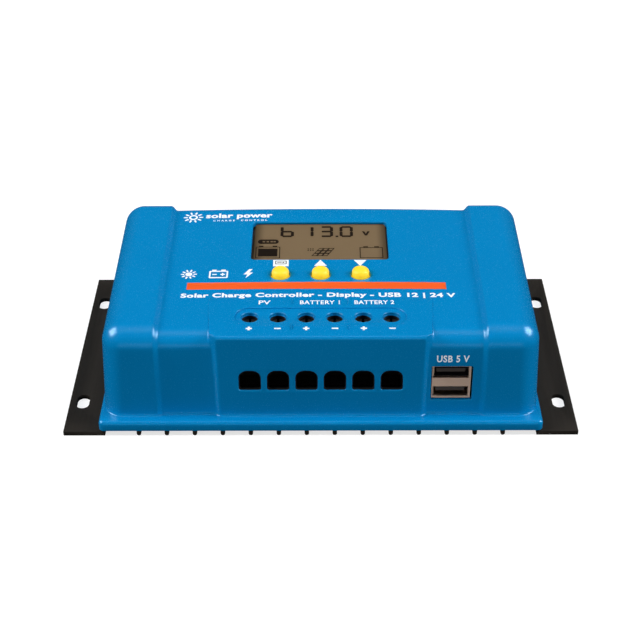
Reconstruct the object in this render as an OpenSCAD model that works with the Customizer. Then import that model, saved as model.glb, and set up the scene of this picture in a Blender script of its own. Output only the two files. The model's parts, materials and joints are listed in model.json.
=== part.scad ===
// Wall-mounted solar charge controller: ribbed heat sink base, moulded cover, display board,
// three push buttons, six-pole screw terminal and a double USB outlet.
// Origin: centre of the footprint on the mounting plane. +X right, +Y back, +Z up.

/* [Heat sink base] */
// Overall width across the two mounting ears
base_w = 184; // [182:1:188]
// Overall depth of the base and the cover
base_d = 101; // [101:1:104]
// Thickness of the mounting ears
ear_t = 1.8; // [1.5:0.1:1.9]
// Thickness of the raised plate that the boards stand on
plate_t = 1.8; // [1.6:0.1:1.8]
// Number of ribs under the plate
rib_count = 14; // [10:2:14]
// Distance between ribs
rib_pitch = 10; // [9:0.5:10]
// Thickness of one rib
rib_t = 1.6; // [1.2:0.1:2.2]

/* [Mounting slots] */
// Width of a mounting slot
slot_w = 4.6; // [4:0.1:5]
// End-to-end length of a mounting slot
slot_l = 8; // [7:0.5:10]
// Distance between the two slots of one ear
slot_spacing_y = 65.5; // [60:0.5:70]
// Distance from the centre line to a slot
slot_x = 87.2; // [86.5:0.1:88]

/* [Cover] */
// Height of the shoulders at the back
cover_h = 42.8; // [42.6:0.1:43.4]
// Wall thickness of the cover
wall = 1.8; // [1.6:0.1:2]
// Height of the raised shoulders above the centre field
shoulder_rise = 1.6; // [1.2:0.1:1.8]
// Fall of the top towards the front, in degrees
top_slope = 1.25; // [1:0.05:1.4]
// Radius of the shoulders' top corners
shoulder_r = 7.5; // [6:0.5:8]
// Height of the foot flange above the mounting plane
flange_top = 5.8; // [5.7:0.1:6]

/* [Terminals] */
// Number of poles of the screw terminal
pole_count = 6; // [6:1:6]
// Distance between poles
pole_pitch = 10; // [10:0.1:10.1]
// Diameter of the screwdriver holes in the cover
access_d = 6.2; // [6:0.1:6.4]
// Width of a wire entry in the cover
entry_w = 7.9; // [7.7:0.1:8]
// Height of a wire entry in the cover
entry_h = 8.3; // [8.1:0.1:8.5]
// Travel of a clamp cage, from open to closed
cage_travel = 5.95; // [4.9:0.35:5.95]

/* [Buttons and display] */
// Diameter of a button cap
button_d = 6.4; // [6:0.1:6.6]
// Distance between buttons
button_pitch = 14.75; // [14:0.25:15]
// Travel of a button
button_travel = 0.35; // [0.25:0.05:0.4]
// Width of the display window
window_w = 50.5; // [48:0.5:51]
// Depth of the display window
window_d = 26; // [25:0.1:26.5]

/* [Hidden] */

$fn = 64;
eps = 0.01;
fit_gap = 0.05;

// Base
half_w = base_w / 2;
half_d = base_d / 2;
plate_z = 2.4;
plate_top = plate_z + plate_t;
plate_half_w = 77.5;
rebate = 1.6;

// Cover: front and back of each part of the body, measured in from the foot flange
flange_half_w = 79.3;
flange_wall = 1.4;
flange_edge = 1.4;
shoulder_set = 4.4;
centre_set = 4.8;
block_set = 3.8;
centre_draft = 0.7;
block_draft = 0.4;
step_x = 57.6;
side_half_w = 78.2;
side_draft = 1.6;
corner_r = 8;
boss_r = 3.4;
post_r = 2.7;
centre_front_r = 6;
slope = tan(top_slope);
shoulder_front_top = cover_h - slope * (base_d - shoulder_set);
centre_front_top = shoulder_front_top - shoulder_rise;
function centre_top(y) = centre_front_top + slope * (y + half_d);
function shoulder_top(y) = centre_top(y) + shoulder_rise;

// Raised terminal housing of the cover
block_half_w = 38.7;
block_chamfer = 2.6;
block_back_y = -21.5;
block_flare = 1.6;
block_top = centre_top(block_back_y);

// Terminal poles
screw_y = -33.2;
pole_x = [for (i = [0:pole_count - 1]) (i - (pole_count - 1) / 2) * pole_pitch];
entry_z = 17.1;
tb_front = -43.6;
tb_back = -22;
tb_half_w = 31.4;
pocket_r = 5;
pocket_depth = 0.5;
tb_top = block_top - wall - 0.3;
chamber_w = 8.4;
chamber_front = screw_y - 4.9;
chamber_back = screw_y + 4.9;
chamber_top = 33.75;
bar_z = 24;
bar_t = 1.2;
bar_w = 5;
cage_w = 7.8;
cage_d = 9;
cage_floor = 1.2;
cage_lid = 1.8;
cage_side = 1.1;
cage_z = bar_z - 0.85 - cage_travel - cage_floor;
cage_inner_h = bar_z + bar_t + 0.6 - cage_z - cage_floor;
cage_h = cage_floor + cage_inner_h + cage_lid;
screw_r = 2;
screw_head_r = 2.75;
screw_head_z = 34;
screw_head_h = 2.7;
leg_y = tb_back - 1.4;

// Boards
board_z = 10.1;
board_t = 1.6;
board_top = board_z + board_t;
board_half_w = 65;
board_front = -43.5;
board_back = 20;
standoff_xy = [for (x = [-60, 60], y = [-37.5, 14.5]) [x, y]];
cover_boss_xy = [for (x = [-70, 70], y = [-38.5, 38.5]) [x, y]];
m3_r = 1.45;
m3_hole_r = 1.5;

// Display stack, from the display board up
disp_z = 31.2;
disp_top = disp_z + board_t;
disp_half_w = 37;
disp_front = -15.5;
disp_back = 39;
disp_post_xy = [for (x = [-33.4, 33.4], y = [-11.8, 35.3]) [x, y]];
window_y = 17.1;
glass_z = 35.8;
glass_t = 2.2;
glass_w = 56;
glass_d = 32;
lens_gap = 0.2;
lens_drop = 0.7;
m25_r = 1.2;
m25_hole_r = 1.25;

// Buttons
button_y = -6;
button_x = [-button_pitch, 0, button_pitch];
button_hole_r = button_d / 2 + 0.5;
switch_h = 3.5;
stem_r = 1.7;
stem_top = disp_top + switch_h + 0.9;
stem_bottom = disp_top + switch_h - 0.7;
cap_flange_t = 0.7;
cap_flange_r = 4.3;
cap_side_top = centre_top(button_y) + 1;
cap_dome = 0.5;

// Double USB outlet
usb_x = 46.3;
usb_w = 13.2;
usb_front = -43.2;
usb_back = -26;
usb_z = board_top + 0.1;
usb_h = 14.2;
usb_sheet = 0.35;
usb_cut_w = 14.6;
usb_cut_h = 14.4;
usb_cut_z = 11.8;
usb_port_w = 12.5;
usb_port_h = 5.12;
usb_port_z = [usb_z + 0.75, usb_z + 0.75 + 8.1];
tongue_w = 11.1;
tongue_t = 1.84;
tongue_lift = 2.55;

// Other parts on the main board
capacitor_x = -52;
capacitor_y = [-24, -6];
capacitor_lead_x = 2.5;
inductor_xy = [50, -12];
header_y = 10.5;
function header_x(i) = (i - 4.5) * 2.54 - 34;

// Power stage at the back of the base
pad_t = 0.3;
transistor_x = [-36, -12, 12, 36];
transistor_w = 10;
transistor_h = 4.5;
transistor_y = 25;
transistor_body_l = 9;
transistor_l = 15.5;
tab_t = 1.3;
clamp_y = 29.5;
clamp_screw_x = [-24, 0, 24];
transistor_z = plate_top + pad_t;

module pan_screw(r, len, head_r, head_h) {
    // Axis along Z: the head stands on Z = 0 and the shank hangs below it
    difference() {
        union() {
            translate([0, 0, -len]) cylinder(r = r, h = len + eps);
            cylinder(r = head_r, h = head_h);
        }
        for (turn = [0, 90])
            rotate(turn) translate([-head_r * 0.62, -0.35, head_h * 0.45])
                cube([head_r * 1.24, 0.7, head_h]);
    }
}

module rounded_plate(w, d, r) {
    // Flat outline, centred, with true round corners
    square([w - 2 * r, d], center = true);
    square([w, d - 2 * r], center = true);
    for (x = [-1, 1], y = [-1, 1])
        translate([x * (w / 2 - r), y * (d / 2 - r)]) circle(r = r);
}

module along_y(length) {
    // Extrudes an outline drawn in X and Z, centred along Y
    rotate([90, 0, 0]) linear_extrude(length, center = true) children();
}

module along_x(length) {
    // Extrudes an outline drawn in Y and Z, centred along X
    rotate([90, 0, 90]) linear_extrude(length, center = true) children();
}

module slot_along_y(w, len, h) {
    for (s = [-1, 1]) translate([0, s * (len - w) / 2, 0]) cylinder(d = w, h = h);
    translate([-w / 2, -(len - w) / 2, 0]) cube([w, len - w, h]);
}

module base_profile() {
    translate([-plate_half_w, plate_z]) square([2 * plate_half_w, plate_t]);
    for (s = [-1, 1]) {
        translate([s > 0 ? plate_half_w - ear_t : -half_w, 0])
            square([half_w - plate_half_w + ear_t, ear_t]);
        translate([s > 0 ? plate_half_w - ear_t : -plate_half_w, 0]) square([ear_t, plate_top]);
    }
    for (i = [0:rib_count - 1])
        translate([(i - (rib_count - 1) / 2) * rib_pitch, 0]) {
            translate([-rib_t / 2, rib_t / 2]) square([rib_t, plate_z - rib_t / 2 + eps]);
            translate([0, rib_t / 2]) circle(d = rib_t);
        }
}

module heat_sink_base() {
    color("#28251f") difference() {
        along_y(base_d) base_profile();
        // Rebate that lets the cover's foot drop flush with the front and back ends
        for (s = [-1, 1])
            translate([-flange_half_w, s > 0 ? half_d - rebate : -half_d - eps, ear_t])
                cube([2 * flange_half_w, rebate + eps, plate_top]);
        for (x = [-slot_x, slot_x], y = [-1, 1])
            translate([x, y * slot_spacing_y / 2, -1]) slot_along_y(slot_w, slot_l, ear_t + 2);
        for (p = concat(cover_boss_xy, standoff_xy))
            translate([p[0], p[1], plate_z - 1]) cylinder(r = m3_hole_r, h = plate_t + 2);
        for (x = clamp_screw_x)
            translate([x, clamp_y, plate_z - 1]) cylinder(r = m3_hole_r, h = plate_t + 2);
    }
}

module shoulder_form(inset, z) {
    // Smooth box with round top corners; its top falls towards the front
    r = shoulder_r - inset;
    hull() {
        translate([0, 0, z]) linear_extrude(0.1)
            rounded_plate(2 * (side_half_w - inset), base_d - 2 * (shoulder_set + inset),
                corner_r - inset);
        for (x = [-1, 1], y = [-1, 1])
            translate([
                x * (side_half_w - side_draft - shoulder_r),
                y * (half_d - shoulder_set - 0.6 - shoulder_r),
                cover_h - shoulder_r - (y < 0 ? slope * (base_d - 2 * shoulder_set) : 0)
            ]) sphere(r = r, $fn = 32);
    }
}

module centre_profile(inset) {
    // Outline in Y and Z of the lower centre field
    front = -half_d + centre_set + inset;
    back = -front;
    r = centre_front_r - inset;
    lean = centre_draft;
    front_top = centre_front_top - inset;
    back_top = centre_top(half_d - centre_set) - inset;
    polygon(concat(
        [[front, 0]],
        [for (a = [180:-10:90 + top_slope])
            [front + lean + r + r * cos(a), front_top - r + r * sin(a) + slope * r]],
        [for (a = [90 + top_slope:-10:0])
            [back - lean - r + r * cos(a), back_top - r + r * sin(a) - slope * r]],
        [[back - lean, back_top - r - slope * r], [back, 0]]
    ));
}

module block_form(inset) {
    // Raised housing over the screw terminal, with a level top and splayed sides
    front = -half_d + block_set + inset;
    half = block_half_w - inset;
    top = block_top - inset;
    intersection() {
        along_x(4 * block_half_w)
            polygon([[front, 0], [front + block_draft, top], [block_back_y, top], [block_back_y, 0]]);
        linear_extrude(cover_h)
            polygon([
                [-half - block_flare, block_back_y], [-half, front + block_chamfer],
                [-half + block_chamfer, front], [half - block_chamfer, front],
                [half, front + block_chamfer], [half + block_flare, block_back_y]
            ]);
    }
}

module cover_form(inset, z) {
    difference() {
        shoulder_form(inset, z);
        difference() {
            translate([-step_x - inset, -half_d, z - 1])
                cube([2 * (step_x + inset), base_d, cover_h]);
            along_x(2 * (step_x + inset) + 2) centre_profile(inset);
        }
    }
    intersection() {
        block_form(inset);
        translate([-half_w, -half_d, z]) cube([base_w, base_d, cover_h]);
    }
}

module cover_foot() {
    hull() {
        translate([0, 0, ear_t]) linear_extrude(0.1) rounded_plate(2 * flange_half_w, base_d, 1.5);
        translate([0, 0, flange_top - flange_edge]) linear_extrude(0.1)
            rounded_plate(2 * flange_half_w, base_d, 1.5);
        translate([0, 0, flange_top - 0.1]) linear_extrude(0.1)
            rounded_plate(2 * flange_half_w - flange_edge, base_d - flange_edge, 1.5);
    }
}

module wire_entry(w, h, length) {
    // Arched opening along Y, standing on Z = 0
    rotate([90, 0, 0]) translate([0, 0, -length / 2]) {
        translate([0, h - w / 2, 0]) cylinder(d = w, h = length);
        translate([-w / 2, 0, 0]) cube([w, h - w / 2, length]);
    }
}

module top_cover() {
    color("#008bcb") difference() {
        union() {
            difference() {
                union() {
                    cover_foot();
                    cover_form(0, flange_top - 1);
                }
                cover_form(wall, plate_top - 0.1);
                translate([-plate_half_w - 0.3, -half_d + flange_wall, ear_t - 1])
                    cube([2 * plate_half_w + 0.6, base_d - 2 * flange_wall, plate_top - ear_t + 1]);
            }
            for (p = cover_boss_xy)
                translate([p[0], p[1], plate_top])
                    cylinder(r = boss_r, h = shoulder_top(p[1]) - plate_top - 0.7 * wall);
            for (p = disp_post_xy)
                translate([p[0], p[1], disp_top])
                    cylinder(r = post_r, h = centre_top(p[1]) - disp_top - 0.6 * wall);
        }
        for (p = cover_boss_xy)
            translate([p[0], p[1], plate_top - 1]) cylinder(r = m3_hole_r, h = 11);
        for (p = disp_post_xy)
            translate([p[0], p[1], disp_top - 1]) cylinder(r = m25_hole_r, h = 6);
        for (x = pole_x) {
            translate([x, screw_y, block_top - 3]) cylinder(d = access_d, h = 6);
            translate([x, -half_d + block_set + 1.5, entry_z]) wire_entry(entry_w, entry_h, 6);
        }
        translate([0, screw_y, block_top - pocket_depth]) linear_extrude(2)
            rounded_plate(pole_x[pole_count - 1] * 2 + 2 * pocket_r, 2 * pocket_r, pocket_r - 0.01);
        for (x = button_x)
            translate([x, button_y, centre_top(button_y) - 4]) cylinder(r = button_hole_r, h = 8);
        translate([0, window_y, centre_top(window_y) - 6]) linear_extrude(12)
            rounded_plate(window_w, window_d, 1.5);
        translate([usb_x - usb_cut_w / 2, -half_d, usb_cut_z]) cube([usb_cut_w, 8, usb_cut_h]);
    }
}

module cover_screws() {
    color("#55565a") for (p = cover_boss_xy)
        translate([p[0], p[1], plate_z]) rotate([180, 0, 0]) pan_screw(m3_r, 9, 2.7, 1.6);
}

module main_board() {
    color("#0f4a2c") difference() {
        translate([-board_half_w, board_front, board_z])
            cube([2 * board_half_w, board_back - board_front, board_t]);
        for (p = standoff_xy)
            translate([p[0], p[1], board_z - 1]) cylinder(r = 1.6, h = board_t + 2);
        for (x = pole_x)
            translate([x - 1.8, leg_y - 0.2, board_z - 1]) cube([3.6, bar_t + 0.4, board_t + 2]);
        for (x = transistor_x, lead = [-1:1])
            translate([x + lead * 2.54, board_back - 4, board_z - 1]) cylinder(r = 0.8, h = board_t + 2);
        for (y = capacitor_y, s = [-1, 1])
            translate([capacitor_x + s * capacitor_lead_x, y, board_z - 1])
                cylinder(r = 0.5, h = board_t + 2);
    }
}

module board_standoffs() {
    color("#b8a15a") for (p = standoff_xy)
        translate([p[0], p[1], 0]) difference() {
            union() {
                translate([0, 0, plate_top]) cylinder(r = 3.1, h = board_z - plate_top, $fn = 6);
                translate([0, 0, plate_z]) cylinder(r = m3_r, h = plate_t + eps);
            }
            translate([0, 0, plate_top + 0.6]) cylinder(r = m3_hole_r, h = board_z);
        }
}

module board_screws() {
    color("#8d8f92") for (p = standoff_xy)
        translate([p[0], p[1], board_top]) pan_screw(m3_r, 6, 2.7, 1.9);
}

module display_board() {
    color("#0f4a2c") difference() {
        translate([-disp_half_w, disp_front, disp_z])
            cube([2 * disp_half_w, disp_back - disp_front, board_t]);
        for (p = disp_post_xy)
            translate([p[0], p[1], disp_z - 1]) cylinder(r = 1.35, h = board_t + 2);
        for (i = [0:9])
            translate([header_x(i), header_y, disp_z - 1]) cylinder(r = 0.5, h = board_t + 2);
    }
}

module display_screws() {
    color("#8d8f92") for (p = disp_post_xy)
        translate([p[0], p[1], disp_z]) rotate([180, 0, 0]) pan_screw(m25_r, 5.5, 2.2, 1.5);
}

module display_frame() {
    // Frame that holds the glass and the backlight on the display board
    frame_top = glass_z + glass_t + 0.2;
    color("#1b1b1d") translate([0, window_y, 0]) difference() {
        translate([-glass_w / 2 - 1.6, -glass_d / 2 - 1.6, disp_top])
            cube([glass_w + 3.2, glass_d + 3.2, frame_top - disp_top]);
        translate([-glass_w / 2 - 0.1, -glass_d / 2 - 0.1, disp_top - 1])
            cube([glass_w + 0.2, glass_d + 0.2, glass_z + glass_t - disp_top + 1]);
        translate([-glass_w / 2 + 1.4, -glass_d / 2 + 1.4, glass_z])
            cube([glass_w - 2.8, glass_d - 2.8, 6]);
    }
}

module display_glass() {
    // Glass plate with a raised lens that fills the window and lies just below the cover's slope
    front = window_y - window_d / 2;
    back = window_y + window_d / 2;
    color("#81705a") {
        translate([-glass_w / 2, window_y - glass_d / 2, glass_z]) cube([glass_w, glass_d, glass_t]);
        intersection() {
            translate([0, window_y, glass_z + 1]) linear_extrude(glass_t + 3)
                rounded_plate(window_w - 2 * lens_gap, window_d - 2 * lens_gap, 1.5 - lens_gap);
            along_x(window_w)
                polygon([[front, glass_z], [front, centre_top(front) - lens_drop],
                         [back, centre_top(back) - lens_drop], [back, glass_z]]);
        }
    }
}

module display_backlight() {
    color("#e6e2d6") translate([-glass_w / 2 + 0.5, window_y - glass_d / 2 + 2.4, disp_top])
        cube([glass_w - 1, glass_d - 4.8, glass_z - disp_top]);
}

module display_contact_strips() {
    color("#c9c4bb") for (s = [-1, 1])
        translate([-glass_w / 2 + 1.5, window_y + s * (glass_d / 2 - 1.2) - 0.9, disp_top])
            cube([glass_w - 3, 1.8, glass_z - disp_top]);
}

module button_cap(i) {
    x = button_x[i - 1];
    r = button_d / 2;
    edge = 0.6;
    color("#f7e946") translate([x, button_y, 0]) rotate_extrude()
        polygon(concat(
            [[0, stem_top], [cap_flange_r, stem_top], [cap_flange_r, stem_top + cap_flange_t],
             [r, stem_top + cap_flange_t], [r, cap_side_top - edge]],
            [for (a = [0:15:90]) [r - edge + edge * cos(a), cap_side_top - edge + edge * sin(a)]],
            [for (k = [1:6]) [(r - edge) * (1 - k / 6), cap_side_top + cap_dome * sin(15 * k)]]
        ));
}

module switch_stem(i) {
    color("#202020") translate([button_x[i - 1], button_y, stem_bottom])
        cylinder(r = stem_r, h = stem_top - stem_bottom);
}

module switch_base(i) {
    color("#35363a") translate([button_x[i - 1], button_y, disp_top]) difference() {
        translate([-3, -3, 0]) cube([6, 6, switch_h]);
        translate([0, 0, stem_bottom - disp_top - button_travel - 0.35])
            cylinder(r = stem_r + fit_gap, h = switch_h);
    }
}

module terminal_block() {
    color("#17181a") difference() {
        translate([-tb_half_w, tb_front, board_top])
            cube([2 * tb_half_w, tb_back - tb_front, tb_top - board_top]);
        for (x = pole_x) {
            translate([x - chamber_w / 2, chamber_front, cage_z - 0.3])
                cube([chamber_w, chamber_back - chamber_front, chamber_top - cage_z + 0.3]);
            translate([x, screw_y, chamber_top - 1]) cylinder(r = 3, h = 10);
            translate([x, (tb_front + chamber_front) / 2, entry_z + 0.2])
                wire_entry(entry_w - 0.6, entry_h - 0.4, chamber_front - tb_front + 2);
            // Window and groove that the contact bar is pushed into from behind
            translate([x - bar_w / 2 - 0.2, chamber_back - 1, bar_z - 0.2])
                cube([bar_w + 0.4, tb_back - chamber_back + 2, bar_t + 0.4]);
            translate([x - bar_w / 2 - 0.2, leg_y - 0.2, board_top - 1])
                cube([bar_w + 0.4, tb_back - leg_y + 1, bar_z + bar_t + 1.2 - board_top]);
        }
    }
}

module terminal_screw(i) {
    tip_z = bar_z + bar_t + 0.1;
    slot_depth = 1.3;
    color("#b9b4aa") translate([pole_x[i - 1], screw_y, 0]) difference() {
        union() {
            translate([0, 0, tip_z]) cylinder(r = screw_r, h = screw_head_z - tip_z + eps);
            translate([0, 0, screw_head_z]) cylinder(r = screw_head_r, h = screw_head_h);
        }
        for (turn = [0, 90])
            rotate(turn) translate([-screw_head_r - 1, -0.45, screw_head_z + screw_head_h - slot_depth])
                cube([2 * screw_head_r + 2, 0.9, slot_depth + 1]);
    }
}

module clamp_cage(i) {
    inner_w = cage_w - 2 * cage_side;
    color("#c9c5b4") translate([pole_x[i - 1], screw_y, cage_z]) difference() {
        translate([-cage_w / 2, -cage_d / 2, 0]) cube([cage_w, cage_d, cage_h]);
        translate([-inner_w / 2, -cage_d / 2 - 1, cage_floor]) cube([inner_w, cage_d + 2, cage_inner_h]);
        translate([0, 0, cage_floor + cage_inner_h - 1]) cylinder(r = screw_r + fit_gap, h = cage_lid + 2);
    }
}

module contact_bar(i) {
    bar_front = screw_y - cage_d / 2 + 0.2;
    color("#b87a4a") translate([pole_x[i - 1], 0, 0]) {
        translate([-bar_w / 2, bar_front, bar_z]) cube([bar_w, leg_y + bar_t - bar_front, bar_t]);
        translate([-bar_w / 2, leg_y, board_top + 0.2]) cube([bar_w, bar_t, bar_z - board_top - 0.2 + eps]);
        translate([-1.5, leg_y, board_z - 1.5]) cube([3, bar_t, board_t + 2]);
    }
}

module usb_shell() {
    color("#a09a90") difference() {
        translate([usb_x - usb_w / 2, usb_front, usb_z]) cube([usb_w, usb_back - usb_front, usb_h]);
        translate([usb_x - usb_w / 2 + usb_sheet, usb_front + usb_sheet, usb_z + usb_sheet])
            cube([usb_w - 2 * usb_sheet, usb_back - usb_front, usb_h - 2 * usb_sheet]);
        for (z = usb_port_z)
            translate([usb_x - usb_port_w / 2, usb_front - 1, z]) cube([usb_port_w, 4, usb_port_h]);
    }
}

module usb_insulator() {
    // Black insert: a rear block, the divider between the ports and one tongue in each port
    gap = 0.05;
    inner_w = usb_w - 2 * (usb_sheet + gap);
    inner_z = usb_z + usb_sheet + gap;
    inner_h = usb_h - 2 * (usb_sheet + gap);
    divider_h = usb_port_z[1] - usb_port_z[0] - usb_port_h;
    color("#111214") difference() {
        union() {
            translate([usb_x - inner_w / 2, usb_back - 6, inner_z]) cube([inner_w, 6, inner_h]);
            translate([usb_x - inner_w / 2, usb_front + usb_sheet + gap, usb_port_z[0] + usb_port_h])
                cube([inner_w, usb_back - usb_front - 1, divider_h]);
            for (z = usb_port_z)
                translate([usb_x - tongue_w / 2, usb_front + 0.6, z + tongue_lift])
                    cube([tongue_w, usb_back - usb_front - 2, tongue_t]);
        }
        for (z = usb_port_z, k = [-1.5:1:1.5])
            translate([usb_x + 2.5 * k - 0.55, usb_front + 1.4, z + tongue_lift - eps])
                cube([1.1, usb_back - usb_front - 7.5, 0.3 + eps]);
    }
}

module usb_contacts() {
    color("#d4b04a") for (z = usb_port_z, k = [-1.5:1:1.5])
        translate([usb_x + 2.5 * k - 0.5, usb_front + 1.6, z + tongue_lift - 0.05])
            cube([1, usb_back - usb_front - 8, 0.3]);
}

module thermal_pad() {
    color("#c8c9c4") translate([-44, transistor_y - 0.5, plate_top]) difference() {
        cube([88, transistor_l + 1, pad_t]);
        for (x = clamp_screw_x)
            translate([x + 44, clamp_y - transistor_y + 0.5, -1]) cylinder(r = 1.8, h = 3);
    }
}

module power_transistor(i) {
    lead_y = board_back - 4;
    lead_z = transistor_z + 2.4;
    color("#1d1d1f") translate([transistor_x[i - 1], 0, 0]) {
        difference() {
            union() {
                translate([-transistor_w / 2, transistor_y, transistor_z])
                    cube([transistor_w, transistor_body_l, transistor_h]);
                translate([-transistor_w / 2, transistor_y + 1, transistor_z])
                    cube([transistor_w, transistor_l - 1, tab_t]);
            }
            translate([0, transistor_y + transistor_l - 2.8, transistor_z - 1]) cylinder(r = 1.8, h = 4);
        }
        for (lead = [-1:1])
            translate([lead * 2.54 - 0.4, lead_y - 0.25, lead_z]) {
                cube([0.8, transistor_y - lead_y + 0.3, 0.5]);
                cube([0.8, 0.5, board_top + 1 - lead_z]);
            }
    }
}

module clamp_bar() {
    bar_z0 = transistor_z + transistor_h;
    color("#9da0a3") difference() {
        translate([-44, clamp_y - 3, bar_z0]) cube([88, 6, 2.5]);
        for (x = clamp_screw_x)
            translate([x, clamp_y, bar_z0 - 1]) cylinder(r = 1.7, h = 5);
    }
}

module clamp_bar_screws() {
    bar_top = transistor_z + transistor_h + 2.5;
    color("#8d8f92") for (x = clamp_screw_x)
        translate([x, clamp_y, bar_top]) pan_screw(m3_r, bar_top - plate_z - 0.1, 2.7, 1.9);
}

module capacitor(y) {
    // Electrolytic can with a rolled groove and two leads
    r = 6.25;
    h = 20;
    color("#20263a") translate([capacitor_x, y, board_top]) {
        rotate_extrude() polygon([
            [0, 0], [r - 0.4, 0], [r, 0.4], [r, 2], [r - 0.6, 2.6], [r - 0.6, 3], [r, 3.6],
            [r, h - 0.5], [r - 0.5, h], [0, h]
        ]);
        for (x = [-capacitor_lead_x, capacitor_lead_x])
            translate([x, 0, -board_t - 1.2]) cylinder(r = 0.35, h = board_t + 1.3);
    }
}

module capacitor_1() {
    capacitor(capacitor_y[0]);
}

module capacitor_2() {
    capacitor(capacitor_y[1]);
}

module inductor_core() {
    // Ferrite drum: two round cheeks on a core
    color("#3a3b3d") translate([inductor_xy[0], inductor_xy[1], board_top]) {
        cylinder(r = 6.5, h = 1.5);
        cylinder(r = 3, h = 10);
        translate([0, 0, 8.5]) cylinder(r = 6.5, h = 1.5);
    }
}

module inductor_winding() {
    // Enamelled copper wire, wound in five visible rows between the cheeks
    color("#b5622c") translate([inductor_xy[0], inductor_xy[1], board_top + 1.5]) rotate_extrude()
        union() {
            translate([3.05, 0.05]) square([2.2, 6.9]);
            for (k = [0:4]) translate([5.25, 0.75 + k * 1.375]) circle(r = 0.65);
        }
}

module controller_chip() {
    body = 10;
    color("#1c1c1e") translate([-14, 4, board_top]) {
        translate([-body / 2, -body / 2, 0.15]) cube([body, body, 1.4]);
        for (turn = [0, 90, 180, 270], k = [-5:5])
            rotate(turn) translate([k * 0.8 - 0.15, body / 2 - 0.2, 0]) cube([0.3, 1.2, 0.25]);
    }
}

module current_shunt() {
    // Flat resistance strip bent into a low bridge
    color("#a56b45") translate([14, 2, board_top]) {
        for (x = [-7, 5.8]) translate([x, -2, 0]) cube([1.2, 4, 5]);
        translate([-7, -2, 3.8]) cube([14, 4, 1.2]);
    }
}

module header_pins() {
    color("#c9a227") for (i = [0:9])
        translate([header_x(i) - 0.32, header_y - 0.32, 17])
            cube([0.64, 0.64, disp_z - 17 - 0.5]);
}

module header_socket() {
    color("#15161a") difference() {
        translate([header_x(0) - 1.5, header_y - 1.25, board_top]) cube([9 * 2.54 + 3, 2.5, 8.5]);
        for (i = [0:9])
            translate([header_x(i) - 0.4, header_y - 0.4, 16]) cube([0.8, 0.8, 10]);
    }
}

module usb_regulator() {
    color("#1c1c1e") translate([40, 4, board_top]) {
        translate([-2, -2.5, 0.15]) cube([4, 5, 1.4]);
        for (side = [-1, 1], k = [-1.5:1:1.5])
            translate([side * 2.4 - 0.6, k * 1.27 - 0.2, 0]) cube([1.2, 0.4, 0.25]);
    }
}

heat_sink_base();
top_cover();
cover_screws();
main_board();
board_standoffs();
board_screws();
display_board();
display_screws();
display_frame();
display_glass();
display_backlight();
display_contact_strips();
for (i = [1:3]) button_cap(i);
for (i = [1:3]) switch_stem(i);
for (i = [1:3]) switch_base(i);
terminal_block();
for (i = [1:pole_count]) terminal_screw(i);
for (i = [1:pole_count]) clamp_cage(i);
for (i = [1:pole_count]) contact_bar(i);
usb_shell();
usb_insulator();
usb_contacts();
thermal_pad();
for (i = [1:4]) power_transistor(i);
clamp_bar();
clamp_bar_screws();
capacitor_1();
capacitor_2();
inductor_core();
inductor_winding();
controller_chip();
current_shunt();
header_pins();
header_socket();
usb_regulator();
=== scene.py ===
"""Finish of a wall-mounted solar charge controller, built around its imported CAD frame.

Lengths of the pieces are in millimetres, and meshes are scaled to metres when they are made. The
settings, the lights and the camera are in metres.
"""

import json
import math

import bmesh
import bpy
from bpy.props import FloatProperty, FloatVectorProperty, PointerProperty
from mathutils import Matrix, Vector


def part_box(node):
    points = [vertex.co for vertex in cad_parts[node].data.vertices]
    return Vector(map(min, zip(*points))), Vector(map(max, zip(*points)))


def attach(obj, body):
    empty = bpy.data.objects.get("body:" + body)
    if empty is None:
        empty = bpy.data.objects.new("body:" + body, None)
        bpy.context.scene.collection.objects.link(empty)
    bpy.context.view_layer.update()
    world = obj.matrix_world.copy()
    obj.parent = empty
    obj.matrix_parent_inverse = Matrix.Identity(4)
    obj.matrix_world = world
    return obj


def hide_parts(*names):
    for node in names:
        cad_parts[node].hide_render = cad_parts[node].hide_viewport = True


bl_info = {
    "name": "Solar Charge Controller Finish",
    "version": (1, 0, 0),
    "blender": (4, 5, 0),
    "location": "View3D > Sidebar > Controller",
    "description": "Cover, heat sink, buttons, display and prints of a wall-mounted charge controller",
    "category": "Object",
}

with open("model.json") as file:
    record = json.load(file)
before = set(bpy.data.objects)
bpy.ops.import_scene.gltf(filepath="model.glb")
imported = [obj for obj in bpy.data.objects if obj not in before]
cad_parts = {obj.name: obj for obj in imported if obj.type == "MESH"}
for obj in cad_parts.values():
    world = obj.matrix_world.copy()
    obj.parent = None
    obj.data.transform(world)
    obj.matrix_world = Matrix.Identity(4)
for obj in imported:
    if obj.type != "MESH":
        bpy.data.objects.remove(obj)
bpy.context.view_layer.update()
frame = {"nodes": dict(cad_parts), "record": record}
MM = 0.001
HOUSING = "housing"
CAPITAL = 0.682  # capital height of the built-in letters, per unit of size
PRINT_THICK = 0.07


# ---------------------------------------------------------------- settings

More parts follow.
